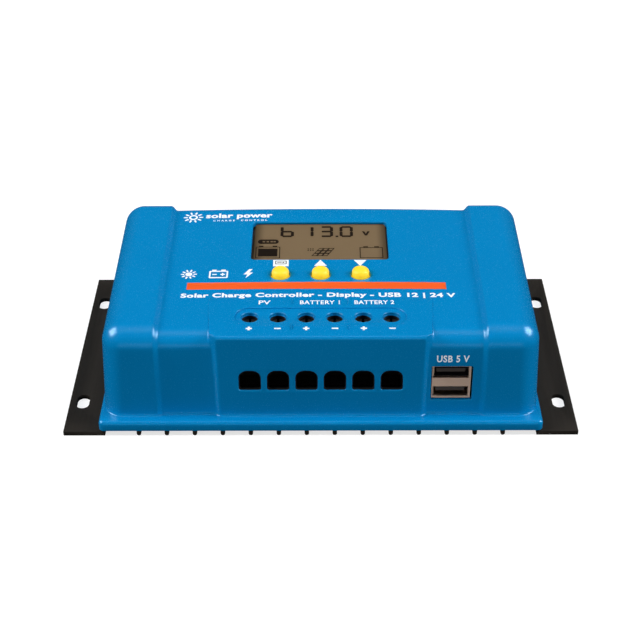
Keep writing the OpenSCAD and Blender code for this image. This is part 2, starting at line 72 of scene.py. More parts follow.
class CoverSizes(bpy.types.PropertyGroup):
    """Sizes of the moulded cover"""

    field_height: FloatProperty(
        name="Field height", description="Height of the centre field at the front end",
        default=0.03909, unit="LENGTH")
    field_slope: FloatProperty(
        name="Field slope", description="Fall of the top towards the front",
        default=math.radians(1.25), subtype="ANGLE")
    crown_front: FloatProperty(
        name="Crown, front", description="How far the centre field drops at its sides, front end",
        default=0.00025, unit="LENGTH")
    crown_back: FloatProperty(
        name="Crown, back", description="How far the centre field drops at its sides, back end",
        default=0.0008, unit="LENGTH")
    shoulder_rise: FloatProperty(
        name="Shoulder rise", description="Height of the shoulders above the centre field",
        default=0.0016, unit="LENGTH")
    shoulder_round: FloatProperty(
        name="Shoulder radius", description="Radius of the shoulders' outer edges",
        default=0.0076, unit="LENGTH")
    field_round: FloatProperty(
        name="Field radius", description="Radius of the centre field's front and back edges",
        default=0.006, unit="LENGTH")
    block_round: FloatProperty(
        name="Block radius", description="Radius of the terminal housing's front edge",
        default=0.0013, unit="LENGTH")
    block_height: FloatProperty(
        name="Block height", description="Height of the level top over the terminals",
        default=0.03972, unit="LENGTH")
    wall: FloatProperty(name="Wall", description="Wall thickness", default=0.0018, unit="LENGTH")


class FinishColours(bpy.types.PropertyGroup):
    """Colours of the visible finishes, scene linear"""

    cover_blue: FloatVectorProperty(
        name="Cover blue", description="Moulded cover", subtype="COLOR", size=3,
        default=(0.0, 0.235, 0.56), min=0, max=1)
    anodised_black: FloatVectorProperty(
        name="Anodised black", description="Heat sink extrusion", subtype="COLOR", size=3,
        default=(0.021, 0.018, 0.015), min=0, max=1)
    stripe_orange: FloatVectorProperty(
        name="Stripe orange", description="Printed stripe", subtype="COLOR", size=3,
        default=(0.93, 0.115, 0.012), min=0, max=1)
    print_white: FloatVectorProperty(
        name="Print white", description="Printed lettering", subtype="COLOR", size=3,
        default=(0.86, 0.9, 0.93), min=0, max=1)
    button_yellow: FloatVectorProperty(
        name="Button yellow", description="Button caps", subtype="COLOR", size=3,
        default=(0.66, 0.53, 0.04), min=0, max=1)
    display_brown: FloatVectorProperty(
        name="Display brown", description="Background of the display", subtype="COLOR", size=3,
        default=(0.2, 0.14, 0.078), min=0, max=1)
    segment_brown: FloatVectorProperty(
        name="Segment brown", description="Segments of the display", subtype="COLOR", size=3,
        default=(0.012, 0.008, 0.006), min=0, max=1)


class StageSettings(bpy.types.PropertyGroup):
    """Camera and light"""

    lens: FloatProperty(name="Lens", description="Focal length", default=80.52, unit="CAMERA")
    camera_place: FloatVectorProperty(
        name="Camera place", description="Camera location", default=(-0.000215, -0.4513, 0.3212),
        size=3, subtype="TRANSLATION", unit="LENGTH")
    camera_fall: FloatProperty(
        name="Camera fall", description="How far the camera looks below the horizon",
        default=math.radians(34.11), subtype="ANGLE")
    camera_roll: FloatProperty(
        name="Camera roll", description="Roll of the camera",
        default=math.radians(0.115), subtype="ANGLE")
    top_power: FloatProperty(
        name="Top light", description="Power of the overhead softbox", default=8.2, unit="POWER")
    side_power: FloatProperty(
        name="Side light", description="Power of each side softbox", default=15.2, unit="POWER")
    low_power: FloatProperty(
        name="Low light", description="Power of each low softbox, in front and behind", default=6.1,
        unit="POWER")
    glint_power: FloatProperty(
        name="Glint light", description="Power of each lamp seen only as a highlight", default=34.0,
        unit="POWER")
    floor_glow: FloatProperty(
        name="Floor glow", description="Light given off by the floor, as from a lit table",
        default=0.72, min=0, subtype="FACTOR")
    ambient: FloatProperty(
        name="Ambient", description="Strength of the world light", default=0.02, min=0, subtype="FACTOR")


# ---------------------------------------------------------------- mesh helpers

def new_object(name, verts, faces, material, smooth=32):
    """Object from points in millimetres; edges flatter than smooth degrees are shaded round"""
    mesh = bpy.data.meshes.new(name)
    mesh.from_pydata([[c * MM for c in v] for v in verts], [], faces)
    mesh.materials.append(material)
    obj = bpy.data.objects.new(name, mesh)
    bpy.context.scene.collection.objects.link(obj)
    face_outwards(mesh)
    shade(mesh, smooth)
    return obj


def face_outwards(mesh):
    """Turns the faces of closed skins outwards"""
    bm = bmesh.new()
    bm.from_mesh(mesh)
    bmesh.ops.recalc_face_normals(bm, faces=bm.faces)
    bm.to_mesh(mesh)
    bm.free()


def shade(mesh, degrees):
    """Round shading, with edges sharper than degrees kept sharp"""
    mesh.polygons.foreach_set("use_smooth", [True] * len(mesh.polygons))
    mesh.set_sharp_from_angle(angle=math.radians(degrees))


def settle(obj):
    """Turns an object's modifiers into its plain mesh"""
    bpy.context.view_layer.update()
    result = obj.evaluated_get(bpy.context.evaluated_depsgraph_get())
    mesh = bpy.data.meshes.new_from_object(result)
    old = obj.data
    obj.modifiers.clear()
    obj.data = mesh
    mesh.name = obj.name
    bpy.data.meshes.remove(old)
    return obj


def cut(obj, *tools):
    """Cuts the tools out of an object and removes them"""
    for tool in tools:
        step = obj.modifiers.new(tool.name, "BOOLEAN")
        step.operation = "DIFFERENCE"
        step.solver = "EXACT"
        step.object = tool
    settle(obj)
    for tool in tools:
        remove(tool)
    if not obj.data.polygons:
        raise RuntimeError(f"{obj.name} lost its surface in a cut")
    return obj


def remove(obj):
    """Removes an object and its mesh"""
    mesh = obj.data
    bpy.data.objects.remove(obj)
    bpy.data.meshes.remove(mesh)


def merged(parts):
    """One list of points and faces from several"""
    verts, faces = [], []
    for part_verts, part_faces in parts:
        start = len(verts)
        verts += part_verts
        faces += [[i + start for i in f] for f in part_faces]
    return verts, faces


def place_piece(obj, slot, *nodes, body=HOUSING):
    """Puts a piece on its body, in place of the CAD nodes it shows"""
    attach(obj, body)
    if nodes:
        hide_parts(*nodes)
    return obj


def loft(rings):
    """Closed skin over rings of equal length, with flat ends"""
    n = len(rings[0])
    verts = [p for ring in rings for p in ring]
    faces = [
        [k * n + i, k * n + (i + 1) % n, (k + 1) * n + (i + 1) % n, (k + 1) * n + i]
        for k in range(len(rings) - 1) for i in range(n)
    ]
    faces += [list(range(n))[::-1], [(len(rings) - 1) * n + i for i in range(n)]]
    return verts, faces


def lathe(profile, x, y, steps=48):
    """Closed turned form about a vertical axis; the profile runs from the axis to the axis"""
    rings = profile[1:-1]
    verts = [(x, y, profile[0][1])]
    for r, z in rings:
        verts += [(x + a, y + b, z) for a, b in circle(r, steps)]
    verts.append((x, y, profile[-1][1]))
    faces = [[0, 1 + (k + 1) % steps, 1 + k] for k in range(steps)]
    for j in range(len(rings) - 1):
        a, b = 1 + j * steps, 1 + (j + 1) * steps
        faces += [[a + k, a + (k + 1) % steps, b + (k + 1) % steps, b + k] for k in range(steps)]
    a, last = 1 + (len(rings) - 1) * steps, len(verts) - 1
    faces += [[a + k, a + (k + 1) % steps, last] for k in range(steps)]
    return verts, faces


def round_rect(w, d, r, steps=6):
    """Corner points of a centred rectangle with round corners, anticlockwise"""
    r = max(min(r, w / 2 - 1e-4, d / 2 - 1e-4), 1e-3)
    points = []
    for k, (sx, sy) in enumerate(((1, 1), (-1, 1), (-1, -1), (1, -1))):
        for j in range(steps + 1):
            a = math.radians(90 * k + 90 * j / steps)
            points.append((sx * (w / 2 - r) + r * math.cos(a), sy * (d / 2 - r) + r * math.sin(a)))
    return points


def circle(r, steps=40):
    """Points of a circle about the origin, anticlockwise"""
    return [(r * math.cos(2 * math.pi * k / steps), r * math.sin(2 * math.pi * k / steps))
            for k in range(steps)]


def flat_mesh(curve):
    """Points and faces, in millimetres, of a filled and extruded flat curve"""
    obj = bpy.data.objects.new("outline", curve)
    bpy.context.scene.collection.objects.link(obj)
    bpy.context.view_layer.update()
    mesh = bpy.data.meshes.new_from_object(obj.evaluated_get(bpy.context.evaluated_depsgraph_get()))
    bpy.data.objects.remove(obj)
    bpy.data.curves.remove(curve)
    bm = bmesh.new()
    bm.from_mesh(mesh)
    bmesh.ops.remove_doubles(bm, verts=bm.verts, dist=0.0005)
    bmesh.ops.dissolve_degenerate(bm, edges=bm.edges, dist=0.0002)
    bm.verts.ensure_lookup_table()
    verts = [tuple(v.co) for v in bm.verts]
    faces = [[v.index for v in f.verts] for f in bm.faces]
    bm.free()
    bpy.data.meshes.remove(mesh)
    return verts, faces


def shape(*outlines, thick=PRINT_THICK):
    """Thin closed solid inside the first outline, with the others as holes"""
    curve = bpy.data.curves.new("shape", "CURVE")
    curve.dimensions, curve.fill_mode, curve.extrude = "2D", "BOTH", thick / 2
    for outline in outlines:
        spline = curve.splines.new("POLY")
        spline.points.add(len(outline) - 1)
        for point, (x, y) in zip(spline.points, outline):
            point.co = (x, y, 0, 1)
        spline.use_cyclic_u = True
    return flat_mesh(curve)


def words(text, height, x, y, width, bold, gap=1.0):
    """Thin closed letters of a capital height, centred on x, standing on y and drawn out to a width"""
    curve = bpy.data.curves.new("words", "FONT")
    curve.body = text
    curve.size = height / CAPITAL
    curve.offset = bold
    curve.space_character = gap
    curve.extrude = PRINT_THICK / 2
    curve.resolution_u = 4
    verts, faces = flat_mesh(curve)
    low, high = min(v[0] for v in verts), max(v[0] for v in verts)
    stretch = width / (high - low)
    return [(x + (vx - (low + high) / 2) * stretch, y + vy, vz) for vx, vy, vz in verts], faces


def bar(x0, y0, x1, y1, r=0.0):
    """Outline of an upright rectangle between two corners"""
    w, d = x1 - x0, y1 - y0
    cx, cy = (x0 + x1) / 2, (y0 + y1) / 2
    sharp = [(w / 2, d / 2), (-w / 2, d / 2), (-w / 2, -d / 2), (w / 2, -d / 2)]
    return moved(round_rect(w, d, r, 5) if r else sharp, cx, cy)


def plus(x, y, reach, half):
    """Outline of a plus sign: reach is its arms' length and half their half width"""
    a, b = reach, half
    return moved([(a, b), (b, b), (b, a), (-b, a), (-b, b), (-a, b), (-a, -b), (-b, -b), (-b, -a), (b, -a),
                  (b, -b), (a, -b)], x, y)


def moved(points, x, y):
    """Flat points shifted by x and y"""
    return [(x + a, y + b) for a, b in points]


def drape(solid, place):
    """The solid's points put onto a surface"""
    verts, faces = solid
    return [place(*v) for v in verts], faces


class Tree:
    """Short hand for building a node tree"""

    def __init__(self, tree):
        self.tree = tree

    def add(self, kind, inputs=None, **settings):
        """New node; an input that is given a socket is linked, any other gets its value"""
        node = self.tree.nodes.new(kind)
        for key, value in settings.items():
            setattr(node, key, value)
        for key, value in (inputs or {}).items():
            if isinstance(value, bpy.types.NodeSocket):
                self.tree.links.new(value, node.inputs[key])
            else:
                node.inputs[key].default_value = value
        return node


def scatter_tree():
    """Node group that puts a turned and sized copy of a piece on every point"""
    group = bpy.data.node_groups.get("scatter")
    if group:
        return group
    group = bpy.data.node_groups.new("scatter", "GeometryNodeTree")
    for name, kind in (("Points", "NodeSocketGeometry"), ("Piece", "NodeSocketObject"),
                       ("Finish", "NodeSocketMaterial")):
        group.interface.new_socket(name, in_out="INPUT", socket_type=kind)
    group.interface.new_socket("Copies", in_out="OUTPUT", socket_type="NodeSocketGeometry")
    t = Tree(group)
    source = t.add("NodeGroupInput").outputs
    turn = t.add("GeometryNodeInputNamedAttribute", {"Name": "turn"}, data_type="FLOAT")
    size = t.add("GeometryNodeInputNamedAttribute", {"Name": "size"}, data_type="FLOAT_VECTOR")
    about_z = t.add("ShaderNodeCombineXYZ", {"Z": turn.outputs["Attribute"]})
    piece = t.add("GeometryNodeObjectInfo", {"Object": source["Piece"]}, transform_space="ORIGINAL")
    copies = t.add("GeometryNodeInstanceOnPoints", {
        "Points": source["Points"], "Instance": piece.outputs["Geometry"],
        "Rotation": about_z.outputs["Vector"], "Scale": size.outputs["Attribute"]})
    real = t.add("GeometryNodeRealizeInstances", {"Geometry": copies.outputs["Instances"]})
    coated = t.add("GeometryNodeSetMaterial", {
        "Geometry": real.outputs["Geometry"], "Material": source["Finish"]})
    out = t.add("NodeGroupOutput")
    group.links.new(coated.outputs["Geometry"], out.inputs["Copies"])
    return group


def scatter(name, piece, spots, material, place, smooth=32):
    """One plain mesh of copies put onto a surface

    Each spot is (x, y, z, turn in degrees, scale in x, in y, in z).
    """
    mesh = bpy.data.meshes.new(name)
    mesh.from_pydata([[c * MM for c in spot[:3]] for spot in spots], [], [])
    turn = mesh.attributes.new("turn", "FLOAT", "POINT")
    size = mesh.attributes.new("size", "FLOAT_VECTOR", "POINT")
    for k, spot in enumerate(spots):
        turn.data[k].value = math.radians(spot[3])
        size.data[k].vector = spot[4:]
    obj = bpy.data.objects.new(name, mesh)
    bpy.context.scene.collection.objects.link(obj)
    maker = obj.modifiers.new("scatter", "NODES")
    maker.node_group = scatter_tree()
    sockets = {item.name: item.identifier for item in maker.node_group.interface.items_tree
               if item.in_out == "INPUT"}
    maker[sockets["Piece"]] = piece
    maker[sockets["Finish"]] = material
    settle(obj)
    remove(piece)
    for vertex in obj.data.vertices:
        vertex.co = [c * MM for c in place(*(c / MM for c in vertex.co))]
    face_outwards(obj.data)
    shade(obj.data, smooth)
    return obj


def softened(node, name, width, body, slot, material):
    """Copy of a CAD node with its sharp edges eased, shown in its place"""
    source = frame["nodes"][node]
    obj = bpy.data.objects.new(name, source.data.copy())
    bpy.context.scene.collection.objects.link(obj)
    bm = bmesh.new()
    bm.from_mesh(obj.data)
    bmesh.ops.remove_doubles(bm, verts=bm.verts, dist=1e-6)
    bmesh.ops.dissolve_limit(bm, angle_limit=math.radians(1), verts=bm.verts, edges=bm.edges)
    bm.to_mesh(obj.data)
    bm.free()
    ease = obj.modifiers.new("ease", "BEVEL")
    ease.width, ease.segments = width * MM, 2
    ease.limit_method, ease.angle_limit = "ANGLE", math.radians(35)
    settle(obj)
    obj.data.materials.clear()
    obj.data.materials.append(material)
    obj.data.polygons.foreach_set("material_index", [0] * len(obj.data.polygons))
    face_outwards(obj.data)
    shade(obj.data, 40)
    return place_piece(obj, slot, node, body=body)


# ---------------------------------------------------------------- finishes

def finish(name, colour, rough, metallic=0.0, vary=0.05, patch=60.0, grain=900.0, bump=0.03,
           depth=0.00005, rough_vary=0.05, stretch=(1, 1, 1), **fixed):
    """Principled finish with a mottled colour, uneven gloss and a fine surface grain"""
    material = bpy.data.materials.new(name)
    material.use_nodes = True
    t = Tree(material.node_tree)
    t.tree.nodes.clear()
    out = t.add("ShaderNodeOutputMaterial")
    shader = t.add("ShaderNodeBsdfPrincipled", {"Metallic": metallic})
    coord = t.add("ShaderNodeTexCoord")
    mapping = t.add("ShaderNodeMapping", {"Vector": coord.outputs["Object"], "Scale": stretch})
    vector = mapping.outputs["Vector"]
    mottle = t.add("ShaderNodeTexNoise", {"Vector": vector, "Scale": patch, "Detail": 4.0})
    dark = [c * (1 - vary) for c in colour] + [1]
    light = [min(1, c * (1 + vary)) for c in colour] + [1]
    ramp = t.add("ShaderNodeValToRGB", {"Fac": mottle.outputs["Fac"]})
    ramp.color_ramp.elements[0].position, ramp.color_ramp.elements[1].position = 0.3, 0.7
    ramp.color_ramp.elements[0].color, ramp.color_ramp.elements[1].color = dark, light
    fine = t.add("ShaderNodeTexNoise", {"Vector": vector, "Scale": grain, "Detail": 3.0})
    gloss = t.add("ShaderNodeMapRange", {
        "Value": fine.outputs["Fac"], "From Min": 0.3, "From Max": 0.7,
        "To Min": max(0.02, rough - rough_vary), "To Max": min(1.0, rough + rough_vary)})
    relief = t.add("ShaderNodeBump", {"Height": fine.outputs["Fac"], "Strength": bump, "Distance": depth})
    t.tree.links.new(ramp.outputs["Color"], shader.inputs["Base Color"])
    t.tree.links.new(gloss.outputs["Result"], shader.inputs["Roughness"])
    t.tree.links.new(relief.outputs["Normal"], shader.inputs["Normal"])
    t.tree.links.new(shader.outputs["BSDF"], out.inputs["Surface"])
    for key, value in fixed.items():
        shader.inputs[key.replace("_", " ")].default_value = value
    return material


def cover_plastic():
    """Smooth blue moulding"""
    c = bpy.context.scene.finish_colours
    return bpy.data.materials.get("cover plastic") or finish(
        "cover plastic", c.cover_blue, 0.25, vary=0.02, patch=35, grain=2600, bump=0.04,
        depth=0.00006, rough_vary=0.04, Specular_IOR_Level=0.5, Specular_Tint=(0.6, 0.85, 1, 1))


def anodised():
    """Dull black of the extrusion, with faint lines along its length"""
    c = bpy.context.scene.finish_colours
    return bpy.data.materials.get("anodised extrusion") or finish(
        "anodised extrusion", c.anodised_black, 0.6, vary=0.12, patch=30, grain=700,
        bump=0.08, rough_vary=0.08, stretch=(1, 0.06, 1), Specular_IOR_Level=0.08)


COATS = {
    "screw_steel": dict(colour=(0.42, 0.42, 0.43), rough=0.34, metallic=1.0, grain=1500),
    "circuit_board": dict(colour=(0.008, 0.075, 0.03), rough=0.35, vary=0.12, patch=250),
    "brass": dict(colour=(0.58, 0.42, 0.16), rough=0.3, metallic=1.0),
    "black_plastic": dict(colour=(0.012, 0.012, 0.013), rough=0.55, bump=0.15),
    "white_plastic": dict(colour=(0.72, 0.7, 0.65), rough=0.5),
    "contact_rubber": dict(colour=(0.5, 0.48, 0.44), rough=0.7, stretch=(1, 1, 8)),
    "switch_metal": dict(colour=(0.035, 0.035, 0.04), rough=0.4, metallic=0.6),
    # terminal_steel is far darker than plated steel: painted shade for the screws and cages deep in their
    # holes
    "terminal_steel": dict(colour=(0.1, 0.085, 0.075), rough=0.42, metallic=0.9, grain=1800, vary=0.12),
    "tinned_copper": dict(colour=(0.5, 0.42, 0.36), rough=0.4, metallic=1.0),
    "usb_steel": dict(colour=(0.78, 0.56, 0.43), rough=0.4, metallic=0.15, grain=1800),
    "port_tongue": dict(colour=(0.07, 0.06, 0.055), rough=0.4),
    "gold_contact": dict(colour=(0.75, 0.55, 0.2), rough=0.25, metallic=1.0),
    "thermal_rubber": dict(colour=(0.3, 0.32, 0.36), rough=0.8, bump=0.2),
    "component_black": dict(colour=(0.02, 0.02, 0.022), rough=0.5, bump=0.2, patch=400),
    "bare_aluminium": dict(colour=(0.6, 0.6, 0.61), rough=0.35, metallic=1.0, stretch=(1, 12, 12)),
    "capacitor_sleeve": dict(colour=(0.02, 0.025, 0.05), rough=0.3, vary=0.1),
    "ferrite": dict(colour=(0.04, 0.038, 0.036), rough=0.6, bump=0.3, vary=0.15),
    "copper_wire": dict(colour=(0.6, 0.22, 0.09), rough=0.25, metallic=1.0),
}


def coat(name):
    """The finish of one of the record's material slots"""
    title = f"{name.replace('_', ' ')} finish"
    return bpy.data.materials.get(title) or finish(title, **COATS[name])


def display_glass_with_painted_shade():
    """Display glass with painted shade: its colour darkens towards the sides and back of its frame, where the
    frame casts its shadow
    """
    title = "display glass finish"
    material = bpy.data.materials.get(title)
    if material:
        return material
    material = finish(title, colour("display_brown"), 0.3, vary=0.03, patch=8, grain=40, bump=0.01,
                      rough_vary=0.02, Specular_IOR_Level=0.2)
    t = Tree(material.node_tree)
    shader = next(n for n in t.tree.nodes if n.type == "BSDF_PRINCIPLED")
    plain = shader.inputs["Base Color"].links[0].from_socket
    # painted shade: the base colour is darkened near the window's sides and back edge, as in the frame's
    # shadow
    coord = t.add("ShaderNodeTexCoord")
    axes = t.add("ShaderNodeSeparateXYZ", {"Vector": coord.outputs["Object"]})
    side = t.add("ShaderNodeMath", {0: axes.outputs["X"]}, operation="ABSOLUTE")
    side_shadow = t.add("ShaderNodeMapRange", {
        "Value": side.outputs["Value"], "From Min": 0.0208, "From Max": 0.0254,
        "To Min": 1.0, "To Max": 0.35}, interpolation_type="SMOOTHSTEP")
    back = t.add("ShaderNodeMapRange", {
        "Value": axes.outputs["Y"], "From Min": 0.0288, "From Max": 0.03,
        "To Min": 1.0, "To Max": 0.45}, interpolation_type="SMOOTHSTEP")
    shade_both = t.add("ShaderNodeMath", {0: side_shadow.outputs["Result"], 1: back.outputs["Result"]},
                       operation="MULTIPLY")
    painted_shadow = t.add("ShaderNodeVectorMath", {0: plain, "Scale": shade_both.outputs["Value"]},
                   operation="SCALE")
    t.tree.links.new(painted_shadow.outputs["Vector"], shader.inputs["Base Color"])
    return material


def colour(name):
    """One of the colours of the settings"""
    return tuple(getattr(bpy.context.scene.finish_colours, name))


def ink(name, key, rough, **fixed):
    """Even finish of a print in one of the settings' colours"""
    return bpy.data.materials.get(name) or finish(
        name, colour(key), rough, vary=0.02, patch=120, bump=0.02, **fixed)


def white_ink_with_painted_glow():
    """White print with a faint painted glow (emission), so that it stays clear on the blue"""
    return ink("print white", "print_white", 0.5, Emission_Color=(0.8, 0.9, 1, 1), Emission_Strength=0.12)


# ---------------------------------------------------------------- cover

HALF_D = 50.5
FLANGE_HALF_W = 79.3
FLANGE_FOOT, FLANGE_TOP = 1.8, 5.8
FLANGE_CORNER, FLANGE_EDGE = 1.8, 1.3
CORNER_X, CORNER_Y = 69.3, 38.2  # where the flange's points begin to close up towards its corner
CORNER_FROM, CORNER_TO = 0.35, 0.65  # shares of that stretch between which the corner itself lies
FILLET_TOP = 6.8  # where the fillet over the flange meets the wall
WALL_TOP = 33.1  # where the walls end and the round edges begin
DRAFT_HEIGHT = 33
WALL_HALF_W, WALL_LEAN = 77.9, 1.3
FIELD_HALF_W = 57
FIELD_SET, SHOULDER_SET, BLOCK_SET = 5.0, 3.9, 3.8  # setbacks of the three front walls
FIELD_LEAN, SHOULDER_LEAN, BLOCK_LEAN = 0.7, 0.9, 0.4
BLOCK_BACK, BLOCK_MIDDLE = -21.5, -30
BLOCK_HALF_W = 36.1
BLOCK_CHAMFER = 2.6
BLOCK_FLARE = 1.6  # how much each side of the terminal housing widens towards the back
BLOCK_HEAD_R, BLOCK_FOOT_R = 0.8, 0.6  # round edges of the housing's side walls on the field
ROW_FRONT = -39.0
# angles along the round head, then the round foot, of the terminal housing's side walls
WALL_STEPS = (0, 25, 50, 70, 90)
# x, and share of the step up from the centre field to the shoulder
STEP_COLUMNS = ((56.1, 0.0), (56.5, 0.02), (56.8, 0.1), (57.1, 0.27), (57.5, 0.53), (57.9, 0.78),
                (58.2, 0.92), (58.5, 0.985), (58.9, 1.0))

POCKET_W, POCKET_D, POCKET_R, POCKET_DEPTH = 60.6, 10.8, 5.3, 0.45
RECESS_W, RECESS_D, RECESS_FOOT, RECESS_TOP = 155.6, 98.2, 0.5, 4.2
PITCH = 10
POLES = [PITCH * (k - 2.5) for k in range(6)]
SIGN_Y = -40.9
SCREW_Y, SCREW_HOLE_R = -33.2, 3.1
ENTRY_Z, ENTRY_W, ENTRY_H = 17.1, 7.9, 8.3
ENTRY_FOOT_R, ENTRY_HEAD_R = 0.9, 3.1
FACE_RECESS = 0.95  # how deep the black liners of painted shade in the wire entries and the sockets' face lie in their openings
BUTTON_X, BUTTON_Y, BUTTON_HOLE_R = (-14.75, 0, 14.75), -6.0, 3.7
WINDOW_X, WINDOW_Y, WINDOW_W, WINDOW_D, WINDOW_R = -0.25, 17.45, 51.6, 26.7, 1.5
USB_X, USB_Z, USB_W, USB_H, USB_R = 46.3, 11.8, 14.6, 14.4, 0.5
TOOL_SLOPE = 0.364  # rise of a cutting tool beyond its rounded edge


def size(name):
    """One of the cover's sizes, in millimetres"""
    return getattr(bpy.context.scene.cover_sizes, name) / MM


def field_top(x, y):
    """Height of the lower centre field"""
    along = (y + HALF_D) / (2 * HALF_D)
    crown = size("crown_front") + (size("crown_back") - size("crown_front")) * along
    slope = math.tan(bpy.context.scene.cover_sizes.field_slope)
    return size("field_height") + slope * (y + HALF_D) - crown * (x / FIELD_HALF_W) ** 2


def shoulder_top(y):
    """Height of the shoulders beside the field"""
    return field_top(0, y) + size("shoulder_rise")


def climb(z):
    """Share of the wall's height, for its draft"""
    return min(max((z - FLANGE_TOP) / DRAFT_HEIGHT, 0), 1)


def block_side(y):
    """Half width of the terminal housing at a depth"""
    front = -HALF_D + BLOCK_SET
    corner = min(max(y - front, 0), BLOCK_CHAMFER)
    splay = min(max((y - front - BLOCK_CHAMFER) / (BLOCK_BACK - front - BLOCK_CHAMFER), 0), 1)
    return BLOCK_HALF_W + corner + BLOCK_FLARE * splay


def side_wall(z, inset):
    """Half width of the cover at a height"""
    return WALL_HALF_W - WALL_LEAN * climb(z) - inset


def block_front(z):
    """Depth of the terminal housing's front wall at a height"""
    return -HALF_D + BLOCK_SET + BLOCK_LEAN * climb(z)


def field_front(z):
    """Depth of the front wall beside the terminal housing at a height"""
    return -HALF_D + FIELD_SET + FIELD_LEAN * climb(z)


class SkinGrid:
    """Rounded box of quads that carries the shoulders, the centre field and the terminal housing"""

    def __init__(self, inset=0.0, low=FLANGE_TOP):
        self.inset, self.low = inset, low
        # tangents of the angles round an edge
        arc = [math.tan(math.radians(45 * k / 8)) for k in range(1, 9)]
        half = [("plain", x) for x in (0, 4, 8, 12, 16, 20, 24, 28, 32, 34.6)]
        half += [("wall", k) for k in range(2 * len(WALL_STEPS))]
        half += [("plain", x) for x in (42.5, 45, 48, 51, 54)]
        half += [("step", x + inset, w) for x, w in STEP_COLUMNS]
        half += [("shoulder", x + inset) for x in (60.5, 63, 66)] + [("arc", 0.0)]
        half += [("arc", t) for t in arc]
        self.columns = [(-1, c) for c in half[:0:-1]] + [(1, c) for c in half]
        # rows in Y and levels in Z, before each form stretches them to its own size
        rows = [ROW_FRONT, -37, -35, -33, -31, -29, -27, -25, -23.4, -22.2, BLOCK_BACK, -20.5, -18, -15]
        rows += [*range(-12, 37, 3), -ROW_FRONT]
        self.rows = [(ROW_FRONT, -t) for t in arc[::-1]] + [(y, 0.0) for y in rows]
        self.rows += [(-ROW_FRONT, t) for t in arc]
        heights = [low] if inset else [FLANGE_TOP, 5.84, 5.98, 6.25]
        heights += [FILLET_TOP, 7.6, 9, 10.6, 12.4, 14.4, 17, 20, 23, 26, 29, 31, WALL_TOP]
        self.levels = [(z, 0.0) for z in heights] + [(WALL_TOP, t) for t in arc]

    def form(self, kind, x, row):
        """Edge radius, depth, height of the edge's centre, setback and lean on one of the three forms"""
        y_ref, ty = row
        if kind == "block" and y_ref >= BLOCK_BACK and ty >= 0:
            kind = "field"
        setback, lean = {"field": (FIELD_SET, FIELD_LEAN), "shoulder": (SHOULDER_SET, SHOULDER_LEAN),
                         "block": (BLOCK_SET, BLOCK_LEAN)}[kind]
        r = max(size(f"{kind}_round") - self.inset, 0.3)
        reach = HALF_D - setback - lean - self.inset - r
        if kind == "block":
            y = -reach + (y_ref - ROW_FRONT) * (BLOCK_BACK + reach) / (BLOCK_BACK - ROW_FRONT)
            top = size("block_height")
        else:
            y = y_ref * reach / -ROW_FRONT
            top = field_top(x, y) if kind == "field" else shoulder_top(y)
        return r, y, top - self.inset - r, setback, lean

    def point(self, ix, iy, iz):
        """Place of one of the grid's points"""
        side, column = self.columns[ix]
        row, level = self.rows[iy], self.levels[iz]
        on_top = iz == len(self.levels) - 1
        on_side = ix in (0, len(self.columns) - 1)
        on_end = iy in (0, len(self.rows) - 1)
        kind = column[0]
        tx = 1.0 if on_side else (column[1] if kind == "arc" else 0.0)
        ty = math.copysign(1, row[1]) if on_end else row[1]
        tz = 1.0 if on_top else level[1]

        def solve(name, x):
            """Point in Y and Z on one form, its edge's centre height and its distance from the side"""
            r, y, z, setback, lean = self.form(name, x, row)
            if not on_top and level[1] == 0:
                z = self.low + (level[0] - self.low) / (WALL_TOP - self.low) * (z - self.low)
            if on_end or row[1] != 0:
                y = math.copysign(HALF_D - setback - lean * climb(z) - self.inset - r, row[1])
            span = math.sqrt(tx * tx + ty * ty + tz * tz)
            return Vector((0, y + r * ty / span, z + r * tz / span)), z, r - r * tx / span

        if kind == "arc":
            p, z, short = solve("shoulder", 0)
            x = side_wall(z, self.inset) - short
        elif kind == "shoulder":
            x = column[1]
            p = solve("shoulder", x)[0]
        elif kind == "step":
            x = column[1]
            p = solve("field", x)[0].lerp(solve("shoulder", x)[0], column[2])
        elif kind == "plain":
            x = column[1]
            p = solve("block" if x < BLOCK_HALF_W else "field", x)[0]
        else:
            p, x = self.housing_wall(solve, column[1])
        # the concave fillet between the front and back walls and the foot
        if not self.inset and level[0] < FILLET_TOP and level[1] == 0 and not on_top:
            push = 1 - math.sqrt(max(0, 1 - (FILLET_TOP - level[0]) ** 2))
            span = math.hypot(tx, ty) or 1
            p.y += push * ty / span
        return (side * x, p.y, p.z)

    def housing_wall(self, solve, step):
        """Point on the side wall of the terminal housing, from its round head to its round foot"""
        x_mid = block_side(BLOCK_MIDDLE)
        high, low = solve("block", x_mid)[0], solve("field", x_mid)[0]
        fall = (high - low).length
        head_r, foot_r = min(BLOCK_HEAD_R, 0.45 * fall), min(BLOCK_FOOT_R, 0.4 * fall)
        angle = math.radians(WALL_STEPS[step % len(WALL_STEPS)])
        if step < len(WALL_STEPS):
            drop = head_r * (1 - math.cos(angle))
            shift = max(head_r, 0.3) * (math.sin(angle) - 1) - 0.05
        else:
            drop = fall - foot_r * (1 - math.sin(angle))
            shift = max(foot_r, 0.3) * (1 - math.cos(angle)) + 0.05
        p = high.lerp(low, drop / fall) if fall > 1e-6 else high
        return p, block_side(p.y) - self.inset + shift

    def build(self):
        """Points and faces of the skin, open below, with its lowest ring and that ring's grid places"""
        nx, ny, nz = len(self.columns) - 1, len(self.rows) - 1, len(self.levels) - 1
        index, verts, faces = {}, [], []

        def at(ix, iy, iz):
            key = (ix, iy, iz)
            if key not in index:
                index[key] = len(verts)
                verts.append(self.point(*key))
            return index[key]

